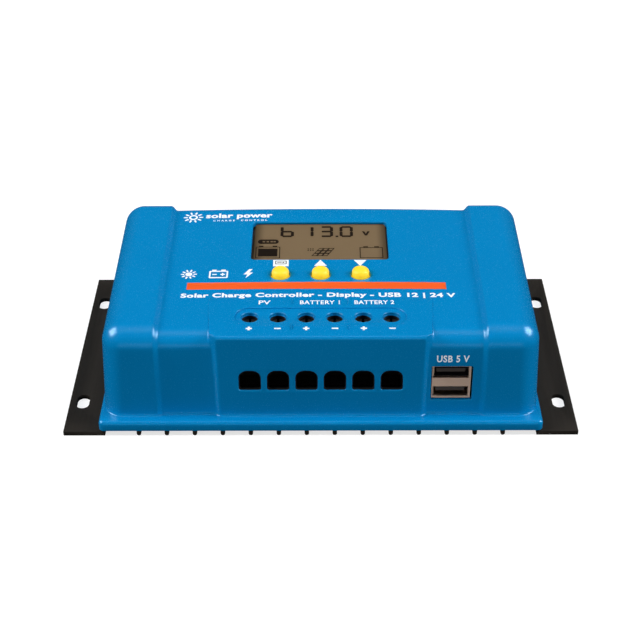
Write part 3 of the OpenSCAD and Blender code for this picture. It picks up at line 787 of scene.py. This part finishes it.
        for ix in range(nx):
            for iy in range(ny):
                faces.append([at(ix, iy, nz), at(ix + 1, iy, nz), at(ix + 1, iy + 1, nz), at(ix, iy + 1, nz)])
            for iz in range(nz):
                faces.append([at(ix, 0, iz), at(ix + 1, 0, iz), at(ix + 1, 0, iz + 1), at(ix, 0, iz + 1)])
                faces.append([at(ix, ny, iz), at(ix, ny, iz + 1), at(ix + 1, ny, iz + 1), at(ix + 1, ny, iz)])
        for iy in range(ny):
            for iz in range(nz):
                faces.append([at(0, iy, iz), at(0, iy, iz + 1), at(0, iy + 1, iz + 1), at(0, iy + 1, iz)])
                faces.append([at(nx, iy, iz), at(nx, iy + 1, iz), at(nx, iy + 1, iz + 1), at(nx, iy, iz + 1)])
        loop = [(ix, 0) for ix in range(nx)] + [(nx, iy) for iy in range(ny)]
        loop += [(ix, ny) for ix in range(nx, 0, -1)] + [(0, iy) for iy in range(ny, 0, -1)]
        rim = [at(ix, iy, 0) for ix, iy in loop]
        return verts, faces, rim, loop


def flange_point(grid, key, wall_point, edge):
    """Point of the foot flange's outline, drawn in by edge, that belongs to a point of the wall's foot"""
    ix, iy = key
    nx, ny = len(grid.columns) - 1, len(grid.rows) - 1
    side, column = grid.columns[ix]
    row = grid.rows[iy]
    half_w, half_d = FLANGE_HALF_W - edge, HALF_D - edge
    on_end, on_side = iy in (0, ny), ix in (0, nx)
    y_sign = -1 if row[1] < 0 or (row[1] == 0 and row[0] < 0) else 1
    if on_end and column[0] != "arc":
        return (wall_point[0], y_sign * half_d)
    if on_side and row[1] == 0:
        return (side * half_w, wall_point[1])
    # place along the corner, 0 on the end face and 1 on the side face
    if on_end:
        share = 0.5 if on_side else 0.5 * math.degrees(math.atan(column[1])) / 45
    else:
        share = 1 - 0.5 * math.degrees(math.atan(abs(row[1]))) / 45
    r = FLANGE_CORNER - min(edge, FLANGE_CORNER - 0.3)
    if share < CORNER_FROM:
        x, y = CORNER_X + (half_w - r - CORNER_X) * share / CORNER_FROM, half_d
    elif share > CORNER_TO:
        x, y = half_w, half_d - r - (half_d - r - CORNER_Y) * (share - CORNER_TO) / (1 - CORNER_TO)
    else:
        a = math.radians(90 * (CORNER_TO - share) / (CORNER_TO - CORNER_FROM))
        x, y = half_w - r + r * math.cos(a), half_d - r + r * math.sin(a)
    return (side * x, y_sign * y)


def cover_solid():
    """Outside of the cover: the skin on its foot flange"""
    grid = SkinGrid()
    verts, faces, rim, loop = grid.build()
    levels = [(FLANGE_EDGE * (1 - math.sin(a)), FLANGE_TOP - FLANGE_EDGE * (1 - math.cos(a)))
              for a in map(math.radians, (0, 22, 45, 68, 90))]
    # the flange's lower edge is only just eased
    levels += [(0, 2.3), (0.12, 1.95), (0.4, FLANGE_FOOT)]
    below = rim
    for inset, z in levels:
        ring = []
        for key, start in zip(loop, rim):
            x, y = flange_point(grid, key, verts[start], inset)
            ring.append(len(verts))
            verts.append((x, y, z))
        n = len(ring)
        faces += [[below[k], ring[k], ring[(k + 1) % n], below[(k + 1) % n]] for k in range(n)]
        below = ring
    faces.append(below[::-1])
    return verts, faces


def cavity_solid():
    """Inside of the cover, one wall thickness in"""
    verts, faces, rim, _ = SkinGrid(inset=size("wall"), low=1.0).build()
    faces.append(rim[::-1])
    return verts, faces


def eased_cut(outline, place, edge, reach, overrun=1.2, lip=None):
    """Cutting tool with a rounded edge: outline(grow) gives a ring, place(a, b, h) puts it on a surface.

    A lip of (depth, width) narrows the opening below that depth.
    """
    steps = [(-lip[1], -reach), (-lip[1], -lip[0]), (0, -lip[0] + 0.05)] if lip else [(0, -reach)]
    steps.append((0, -edge))
    steps += [(edge * (1 - math.cos(math.radians(a))), edge * (math.sin(math.radians(a)) - 1))
              for a in (25, 50, 70)]
    grow, height = steps[-1]
    steps.append((grow + overrun, height + TOOL_SLOPE * overrun))
    return loft([[place(a, b, h) for a, b in outline(g)] for g, h in steps])


def on_field(dx, dy):
    """Places flat points, shifted by dx and dy, on the centre field"""
    return lambda a, b, h: (a + dx, b + dy, field_top(a + dx, b + dy) + h)


def on_block(dx, dy):
    """Places flat points, shifted by dx and dy, on the level top over the terminals"""
    return lambda a, b, h: (a + dx, b + dy, size("block_height") + h)


def on_pocket(dx, dy):
    """Places flat points, shifted by dx and dy, on the floor of the shallow pocket around the screw holes"""
    return lambda a, b, h: (a + dx, b + dy, size("block_height") - POCKET_DEPTH + h)


def in_entry(x, recess=0.0):
    """Places flat points in the wire entry at x, a recess behind the terminal housing's front"""
    return lambda a, b, h: (a + x, block_front(ENTRY_Z + b) + recess - h, ENTRY_Z + b)


def arch(grow):
    """Outline of a wire entry in X and Z: eased foot corners and a round head"""
    points = []
    for start, x, z, r in ((180, -1, 0, ENTRY_FOOT_R), (270, 1, 0, ENTRY_FOOT_R),
                           (0, 1, 1, ENTRY_HEAD_R), (90, -1, 1, ENTRY_HEAD_R)):
        cx, cz = x * (ENTRY_W / 2 - r), (ENTRY_H - r if z else r)
        for k in range(9):
            a = math.radians(start + 90 * k / 8)
            points.append((cx + (r + grow) * math.cos(a), cz + (r + grow) * math.sin(a)))
    return points


def openings():
    """Tools for the window, the button and screw holes, the wire entries and the double outlet"""
    window = eased_cut(lambda g: round_rect(WINDOW_W + 2 * g, WINDOW_D + 2 * g, WINDOW_R + g),
                       on_field(WINDOW_X, WINDOW_Y), 0.35, 4)
    buttons = [eased_cut(lambda g: circle(BUTTON_HOLE_R + g), on_field(x, BUTTON_Y), 0.3, 4)
               for x in BUTTON_X]
    holes = [eased_cut(lambda g: circle(SCREW_HOLE_R + g), on_pocket(x, SCREW_Y), 0.3, 4, lip=(1.1, 0.22))
             for x in POLES]
    entries = [eased_cut(arch, in_entry(x), 0.3, 4.5, overrun=0.8) for x in POLES]
    usb_middle = USB_Z + USB_H / 2
    outlet = eased_cut(
        lambda g: round_rect(USB_W + 2 * g, USB_H + 2 * g, USB_R + g, 4),
        lambda a, b, h: (a + USB_X, field_front(usb_middle + b) - h, usb_middle + b), 0.25, 5)
    return merged([window, *buttons, *holes, *entries, outlet])


class CoverOperator(bpy.types.Operator):
    """Moulded blue cover with its shoulders, terminal housing, window and holes"""

    bl_idname = "controller.cover"
    bl_label = "Cover"

    def execute(self, context):
        blue = cover_plastic()
        cover = new_object("cover_shell", *cover_solid(), blue)
        cavity = new_object("cavity", *cavity_solid(), blue)
        foot = new_object("foot_recess", *loft(
            [[(a, b, z) for a, b in round_rect(RECESS_W, RECESS_D, 1)] for z in (RECESS_FOOT, RECESS_TOP)]),
            blue)
        pocket = new_object("pocket", *eased_cut(
            lambda g: round_rect(POCKET_W + 2 * g, POCKET_D + 2 * g, POCKET_R + g, 10),
            on_block(0, SCREW_Y), 0.2, POCKET_DEPTH), blue)
        cut(cover, cavity)
        cut(cover, foot, pocket)
        cut(cover, new_object("openings", *openings(), blue))
        shade(cover.data, 32)
        place_piece(cover, "cover_plastic", "top_cover")
        return {"FINISHED"}


# ---------------------------------------------------------------- heat sink, buttons, terminals

NOTCH = ((73, -1), (76.6, -1), (78.2, 2.1), (73, 2.1))  # corner notch beside an ear, in X and Z
NOTCH_FROM, NOTCH_TO = 46.5, 52
CAP_R, CAP_RISE = 3.16, 1.1
SOCKET_PORTS = (12.85, 17.2), (20.8, 25.7)
TONGUE_Y, TONGUE_Z = -42.6, (15.2, 23.4)


class HeatSinkOperator(bpy.types.Operator):
    """Black extrusion under the cover, with eased edges"""

    bl_idname = "controller.heat_sink"
    bl_label = "Heat Sink"

    def execute(self, context):
        sink = softened("heat_sink_base", "heat_sink", 0.22, HOUSING, "black_anodised", anodised())
        notches = [loft([[(side * x, end * y, z) for x, z in NOTCH] for y in (NOTCH_FROM, NOTCH_TO)])
                   for side in (-1, 1) for end in (-1, 1)]
        cut(sink, new_object("notches", *merged(notches), anodised()))
        shade(sink.data, 40)
        return {"FINISHED"}


class EntryShadeOperator(bpy.types.Operator):
    """Black liners in the wire entries, a dark sheet that paints the shade inside the openings"""

    bl_idname = "controller.mouths"
    bl_label = "Mouths"

    def execute(self, context):
        black = coat("black_plastic")
        # painted shade: black liners over the walls of the wire entries, a little in from their rims
        shade_liner = shape(arch(-0.03), arch(-0.35), thick=1.2)
        shade_liners = [drape(shade_liner, in_entry(x, FACE_RECESS)) for x in POLES]
        place_piece(new_object("terminal_mouths", *merged(shade_liners), black), "black_plastic")
        return {"FINISHED"}


class ButtonsOperator(bpy.types.Operator):
    """Three yellow push buttons"""

    bl_idname = "controller.buttons"
    bl_label = "Buttons"

    def execute(self, context):
        # painted light: a yellow emission makes the caps glow, lifting their shaded sides
        yellow = bpy.data.materials.get("button yellow") or finish(
            "button yellow", colour("button_yellow"), 0.45, vary=0.04, patch=220, grain=1800,
            Specular_IOR_Level=0.25, Emission_Color=(1, 0.56, 0, 1), Emission_Strength=0.5)
        for k, x in enumerate(BUTTON_X, 1):
            low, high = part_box(f"button_cap_{k}")
            foot, top = low[2] / MM, high[2] / MM + CAP_RISE
            flange = (high[0] - low[0]) / 2 / MM
            profile = [(0, foot), (flange - 0.1, foot), (flange, foot + 0.1), (flange, foot + 0.8),
                       (flange - 0.1, foot + 0.9), (CAP_R + 0.12, foot + 0.9), (CAP_R, foot + 1.05),
                       (CAP_R, top - 2.0)]
            crown_r = CAP_R - 1.5
            profile += [(crown_r + 1.5 * math.cos(a), top - 1.9 + 1.6 * math.sin(a))
                        for a in map(math.radians, range(0, 91, 10))]
            profile += [(crown_r * share, top - 0.3 * share ** 2) for share in (0.85, 0.65, 0.4, 0.18, 0)]
            cap = new_object(f"button_{k}_cap", *lathe(profile, x, BUTTON_Y), yellow)
            place_piece(cap, "button_yellow", f"button_cap_{k}", body=f"button_{k}")
        return {"FINISHED"}


class TerminalsOperator(bpy.types.Operator):
    """Terminal screws, clamp cages and the two socket shells, with eased edges"""

    bl_idname = "controller.terminals"
    bl_label = "Terminals and Sockets"

    def execute(self, context):
        # the darkened terminal steel paints the shade that falls on the screws and cages inside their holes
        steel = coat("terminal_steel")
        for k in range(1, 7):
            softened(f"terminal_screw_{k}", f"terminal_{k}_screw", 0.15, f"screw_{k}", "terminal_steel",
                     steel)
            softened(f"clamp_cage_{k}", f"terminal_{k}_cage", 0.15, f"cage_{k}", "terminal_steel", steel)
        softened("usb_shell", "socket_shells", 0.1, HOUSING, "usb_steel", coat("usb_steel"))
        softened("usb_insulator", "socket_tongues", 0.08, HOUSING, "black_plastic",
                 coat("black_plastic"))
        return {"FINISHED"}


# ---------------------------------------------------------------- prints

STRIPE_LEFT, STRIPE_LENGTH = -48.6, 94.2
STRIPE_FRONT, STRIPE_BACK = -15.7, -11.3
BIG_SUN, SMALL_SUN = (-49.6, 34.9), (-48.45, -5.55)


def printed(name, solids, place, material, slot="cover_plastic"):
    """Prints on one surface, as one piece"""
    return place_piece(new_object(name, *merged([drape(s, place) for s in solids]), material, 1), slot)


def front_print(x, z, h):
    """Place of a print on the front wall beside the terminal housing"""
    return (x, field_front(z) - h, z)


class SocketFaceOperator(bpy.types.Operator):
    """Steel face around the two outlet ports"""

    bl_idname = "controller.socket_face"
    bl_label = "Socket Face"

    def execute(self, context):
        face = shape(bar(-7.0, 12.3, 6.7, 26.1, 0.3),
                     *[bar(-6.75, low, 5.9, high, 0.2) for low, high in SOCKET_PORTS], thick=0.35)
        solid = drape(face, lambda a, b, h: (USB_X + a, field_front(b) + FACE_RECESS - h, b))
        place_piece(new_object("socket_face", *solid, coat("usb_steel")), "usb_steel")
        tongue = shape(round_rect(10.2, 1.5, 0.3, 4), thick=1.0)
        tongues = [drape(tongue, lambda a, b, h, z=z: (USB_X - 0.4 + a, TONGUE_Y - h, z + b))
                   for z in TONGUE_Z]
        place_piece(new_object("port_tongues", *merged(tongues), coat("port_tongue")), "black_plastic")
        return {"FINISHED"}


class StripeOperator(bpy.types.Operator):
    """Orange stripe across the centre field"""

    bl_idname = "controller.stripe"
    bl_label = "Stripe"

    def execute(self, context):
        orange = ink("stripe orange", "stripe_orange", 0.4)
        section = [(STRIPE_FRONT, -0.04), (STRIPE_BACK, -0.04), (STRIPE_BACK, 0.03), (STRIPE_FRONT, 0.03)]
        rings = [[(STRIPE_LEFT + STRIPE_LENGTH * k / 47, y, h) for y, h in section] for k in range(48)]
        printed("stripe", [loft(rings)], on_field(0, 0), orange)
        return {"FINISHED"}


class LetteringOperator(bpy.types.Operator):
    """Generic lettering of the field, the terminal housing and the front face"""

    bl_idname = "controller.lettering"
    bl_label = "Lettering"

    def execute(self, context):
        white = white_ink_with_painted_glow()
        title = [
            words("Solar Charge Controller - Display - USB 12 | 24 V", 2.4, -0.9, -20.75, width=99.0,
                  bold=0.13, gap=1.07),
            words("solar power", 3.1, -31.7, 34.3, width=26.0, bold=0.16, gap=1.04),
            words("CHARGE  CONTROL", 0.95, -31.2, 31.7, width=21.0, bold=0.03, gap=1.7),
        ]
        printed("title", title, on_field(0, 0), white)
        labels = [
            words("PV", 2.3, -20.0, -25.6, width=4.2, bold=0.05),
            words("BATTERY 1", 2.3, -0.25, -25.6, width=14.2, bold=0.05, gap=1.08),
            words("BATTERY 2", 2.3, 19.2, -25.6, width=14.2, bold=0.05, gap=1.08),
        ]
        for x in POLES[::2]:
            minus = moved(bar(-1.15, -0.35, 1.15, 0.35), x + PITCH, SIGN_Y)
            labels += [shape(plus(x, SIGN_Y, 1.1, 0.38)), shape(minus)]
        printed("labels", labels, on_block(0, 0), white)
        printed("outlet_label", [words("USB 5 V", 2.6, USB_X, 28.2, width=11.4, bold=0.09, gap=1.1)],
                front_print, white)
        return {"FINISHED"}


class PictogramOperator(bpy.types.Operator):
    """Sun, battery and bolt pictograms and the marks of the buttons"""

    bl_idname = "controller.pictograms"
    bl_label = "Pictograms"

    def execute(self, context):
        white = white_ink_with_painted_glow()
        ray = new_object("ray", *shape([(-0.5, 0.28), (-0.5, -0.28), (0.5, -0.2), (0.5, 0.2)]), white)
        spots = []
        for (x, y), reach, length in ((BIG_SUN, 3.05, 1.5), (SMALL_SUN, 2.35, 1.25)):
            spots += [(x + a, y + b, 0, 36 * k, length, length, 1)
                      for k, (a, b) in enumerate(circle(reach, 10))]
        rays = scatter("sun_rays", ray, spots, white, on_field(0, 0), 1)
        place_piece(rays, "cover_plastic")
        marks = [
            shape(moved(circle(1.75), *BIG_SUN), moved(circle(1.0), *BIG_SUN)),
            shape(moved(circle(1.25, 32), *SMALL_SUN)),
            shape(bar(-41.0, -8.3, -34.0, -3.5, 0.5), bar(-40.4, -7.7, -34.6, -4.1)),
            shape(bar(-40.0, -3.45, -38.4, -2.7)), shape(bar(-36.6, -3.45, -35.0, -2.7)),
            shape(bar(-39.8, -6.15, -38.2, -5.65)), shape(plus(-36.0, -5.9, 0.85, 0.26)),
            shape(moved([(0.3, 3.0), (-1.7, -0.5), (-0.25, -0.5), (-0.9, -3.0), (1.7, 0.7), (0.3, 0.7),
                         (1.5, 3.0)], -26.6, -5.55)),
            shape(bar(-17.6, -0.8, -11.8, 3.5)),
            shape([(-2.35, -0.6), (2.35, -0.6), (0, 3.5)]),
            shape(moved([(-2.35, 3.4), (0, -0.6), (2.35, 3.4)], BUTTON_X[2], 0)),
        ]
        printed("pictograms", marks, on_field(0, 0), white)
        dark = ink("print dark", "segment_brown", 0.5)
        lines = [shape(bar(-16.8, 0.6, -12.6, 2.9, 0.3), bar(-16.5, 0.9, -12.9, 2.6)),
                 shape(bar(-16.1, 1.6, -14.4, 1.95)), shape(moved(circle(0.35, 20), -13.8, 1.78))]
        printed("setup_mark", lines, lambda x, y, h: on_field(0, 0)(x, y, h + 0.03), dark)
        return {"FINISHED"}


class RidgesOperator(bpy.types.Operator):
    """Small moulded ridges between the terminal pairs"""

    bl_idname = "controller.ridges"
    bl_label = "Ridges"

    def execute(self, context):
        blue = cover_plastic()
        rings = []
        for k in range(9):
            a = math.radians(-90 + 180 * k / 8)
            half_w, half_h = 0.25 * max(math.cos(a), 0.02) ** 0.4, 0.5 * max(math.cos(a), 0.05) ** 0.4
            rings.append([(half_w * b, 0.5 * math.sin(a), half_h * c) for b, c in circle(1, 12)])
        ridge = new_object("ridge", *loft(rings), blue)
        spots = [(x, y, 0, 0, 1.3, length, 0.9) for x in (-10.1, 9.9)
                 for y, length in ((-24.2, 2.6), (-40.1, 3.7))]
        ridges = scatter("terminal_ridges", ridge, spots, blue, on_block(0, 0))
        place_piece(ridges, "cover_plastic")
        return {"FINISHED"}


# ---------------------------------------------------------------- display

LENS_DROP = 0.7
DIGIT_Y, DIGIT_HALF_W, DIGIT_HALF_H = 24.55, 2.0, 3.35
SEGMENTS = {"a": (0, 1, 0), "b": (1, 0.5, 90), "c": (1, -0.5, 90), "d": (0, -1, 0), "e": (-1, -0.5, 90),
            "f": (-1, 0.5, 90), "g": (0, 0, 0)}  # place in half widths and heights, and turn


def on_lens(x, y, h):
    """Place on the display's glass, just below the field"""
    return (x, y, field_top(0, y) - LENS_DROP + h)


class DisplayOperator(bpy.types.Operator):
    """Segments and symbols of the display"""

    bl_idname = "controller.display"
    bl_label = "Display"

    def execute(self, context):
        dark = ink("display segments", "segment_brown", 0.35, Specular_IOR_Level=0.1)
        bar_shape = [(-0.5, 0), (-0.42, 0.5), (0.42, 0.5), (0.5, 0), (0.42, -0.5), (-0.42, -0.5)]
        segment = new_object("segment", *shape(bar_shape, thick=0.05), dark)
        spots = []
        for x, on in ((-12.75, "cdefg"), (-5.2, "bc"), (2.3, "abcdg"), (9.95, "abcdef")):
            for key in on:
                dx, dy, turn = SEGMENTS[key]
                spots.append((x + dx * DIGIT_HALF_W, DIGIT_Y + dy * DIGIT_HALF_H, 0, turn,
                              3.3 if turn else 3.8, 1.15, 1))
        digits = scatter("display_digits", segment, spots, dark, on_lens, 1)
        place_piece(digits, "display_glass")
        symbols = [
            shape(bar(5.8, 20.6, 6.9, 21.6)),
            shape([(16.0, 24.7), (16.9, 24.7), (17.5, 22.9), (18.1, 24.7), (19.0, 24.7), (17.9, 21.7),
                   (17.1, 21.7)]),
            shape(bar(-23.8, 15.8, -15.9, 18.9, 1.4),
                  *[bar(x, 16.9, x + 0.9, 17.8) for x in (-22, -20.5, -19, -17.9)]),
            shape(bar(-24.5, 5.8, -15.2, 13.7), bar(-24.15, 6.15, -15.55, 13.35)),
            shape(bar(-23.5, 7.0, -16.2, 12.4)),
            shape(bar(-23.3, 13.8, -21.6, 14.4)), shape(bar(-18.1, 13.8, -16.4, 14.4)),
            shape(bar(14.8, 5.8, 23.6, 13.2), bar(15.15, 6.15, 23.25, 12.85)),
            shape(bar(16.2, 13.3, 18.0, 13.9)), shape(bar(20.4, 13.3, 22.2, 13.9)),
        ]
        panel = [(-3.4, 7.3), (2.6, 7.3), (5.4, 12.7), (-0.4, 12.7)]
        cells = [[(-3.4 + 5.9 * u + 2.9 * v, 7.3 + 5.4 * v)
                  for u, v in bar(i / 3 + 0.06, j / 3 + 0.06, (i + 1) / 3 - 0.06, (j + 1) / 3 - 0.06)]
                 for i in range(3) for j in range(3)]
        symbols.append(shape(panel, *cells))
        symbols += [shape(moved(circle(0.3, 12), x, y)) for y in (12.2, 11.2) for x in (-4.6, -3.7, -2.8)]
        printed("display_symbols", symbols, on_lens, dark, "display_glass")
        return {"FINISHED"}


# ---------------------------------------------------------------- inner parts

class InnerPartsOperator(bpy.types.Operator):
    """Finishes of the boards, components and fasteners inside the housing"""

    bl_idname = "controller.inner_parts"
    bl_label = "Inner Parts"

    def execute(self, context):
        own = {"cover_plastic": cover_plastic(), "black_anodised": anodised(),
               "display_glass": display_glass_with_painted_shade(), "button_yellow": bpy.data.materials["button yellow"]}
        for part in frame["record"]["subparts"]:
            slot = part["material_slot"]
            material = own.get(slot) or coat(slot)
            obj = frame["nodes"][part["node"]]
            if not obj.material_slots:
                obj.data.materials.append(material)
            for place in obj.material_slots:
                place.material = material
        return {"FINISHED"}


# ---------------------------------------------------------------- stage

FLOOR_REACH, FLOOR_Z = 4000, -0.02


class StageOperator(bpy.types.Operator):
    """Floor, soft light and camera"""

    bl_idname = "controller.stage"
    bl_label = "Stage"

    def execute(self, context):
        s = context.scene.stage_settings
        paper = finish("floor paper", (0.4, 0.4, 0.4), 0.9, vary=0.005, patch=3, bump=0.0,
                       Specular_IOR_Level=0.0, Emission_Color=(1, 1, 1, 1), Emission_Strength=s.floor_glow)
        ring = bar(-FLOOR_REACH, -FLOOR_REACH, FLOOR_REACH, FLOOR_REACH)
        floor = new_object("floor", [(x, y, FLOOR_Z) for x, y in ring], [[0, 1, 2, 3]], paper)
        floor.visible_diffuse = False
        floor.visible_glossy = False
        camera_data = bpy.data.cameras.new("camera")
        camera_data.lens = s.lens
        camera_data.sensor_width = 36
        camera_data.clip_start = 0.01
        camera = bpy.data.objects.new("camera", camera_data)
        context.scene.collection.objects.link(camera)
        camera.location = s.camera_place
        camera.rotation_euler = (math.pi / 2 - s.camera_fall, 0, 0)
        camera.rotation_euler.rotate_axis("Z", -s.camera_roll)
        context.scene.camera = camera
        top = self.softbox("top light", (0, -0.02, 1.5), (0, 0, 0), 0.9, 0.7, s.top_power)
        top.visible_glossy = False
        for side in (-1, 1):
            low = self.softbox("low light", (0, side * 1.2, 0.12), (0, 0, 0.02), 1.2, 0.3, s.low_power)
            low.visible_glossy = False
        for side in (-1, 1):
            fill = self.softbox("side light", (side * 1.3, -0.07, 0.9), (0, -0.03, 0.02), 0.3, 0.8,
                                s.side_power)
            fill.visible_glossy = False
            glint = self.softbox("glint light", (side * 1.2, 0.02, 1.0), (0, 0, 0.03), 0.85, 0.85,
                                 s.glint_power)
            glint.visible_diffuse = False
        world = bpy.data.worlds.new("studio")
        context.scene.world = world
        world.use_nodes = True
        back = world.node_tree.nodes["Background"]
        back.inputs["Color"].default_value = (1, 1, 1, 1)
        back.inputs["Strength"].default_value = s.ambient
        context.scene.view_settings.view_transform = "Standard"
        return {"FINISHED"}

    def softbox(self, name, place, aim, width, depth, power):
        """Area light at a place, turned to an aim; lengths in metres"""
        lamp = bpy.data.lights.new(name, "AREA")
        lamp.shape, lamp.size, lamp.size_y, lamp.energy = "RECTANGLE", width, depth, power
        obj = bpy.data.objects.new(name, lamp)
        bpy.context.scene.collection.objects.link(obj)
        obj.location = place
        obj.rotation_euler = (Vector(aim) - Vector(place)).to_track_quat("-Z", "Y").to_euler()
        return obj


class ControllerPanel(bpy.types.Panel):
    """Builds the controller's pieces one by one"""

    bl_idname = "VIEW3D_PT_controller"
    bl_label = "Charge Controller"
    bl_space_type = "VIEW_3D"
    bl_region_type = "UI"
    bl_category = "Controller"

    def draw(self, context):
        for operator in OPERATORS:
            self.layout.operator(operator.bl_idname)


SETTINGS = {"cover_sizes": CoverSizes, "finish_colours": FinishColours, "stage_settings": StageSettings}
OPERATORS = (StageOperator, CoverOperator, HeatSinkOperator, EntryShadeOperator, ButtonsOperator,
             TerminalsOperator, SocketFaceOperator, StripeOperator, LetteringOperator, PictogramOperator,
             RidgesOperator, DisplayOperator, InnerPartsOperator)


def register():
    for cls in (*SETTINGS.values(), *OPERATORS, ControllerPanel):
        bpy.utils.register_class(cls)
    for name, group in SETTINGS.items():
        setattr(bpy.types.Scene, name, PointerProperty(type=group))


def unregister():
    for name in SETTINGS:
        delattr(bpy.types.Scene, name)
    for cls in reversed((*SETTINGS.values(), *OPERATORS, ControllerPanel)):
        bpy.utils.unregister_class(cls)


def main():
    register()
    for operator in OPERATORS:
        group, name = operator.bl_idname.split(".")
        getattr(getattr(bpy.ops, group), name)()


if __name__ == "__main__":
    main()
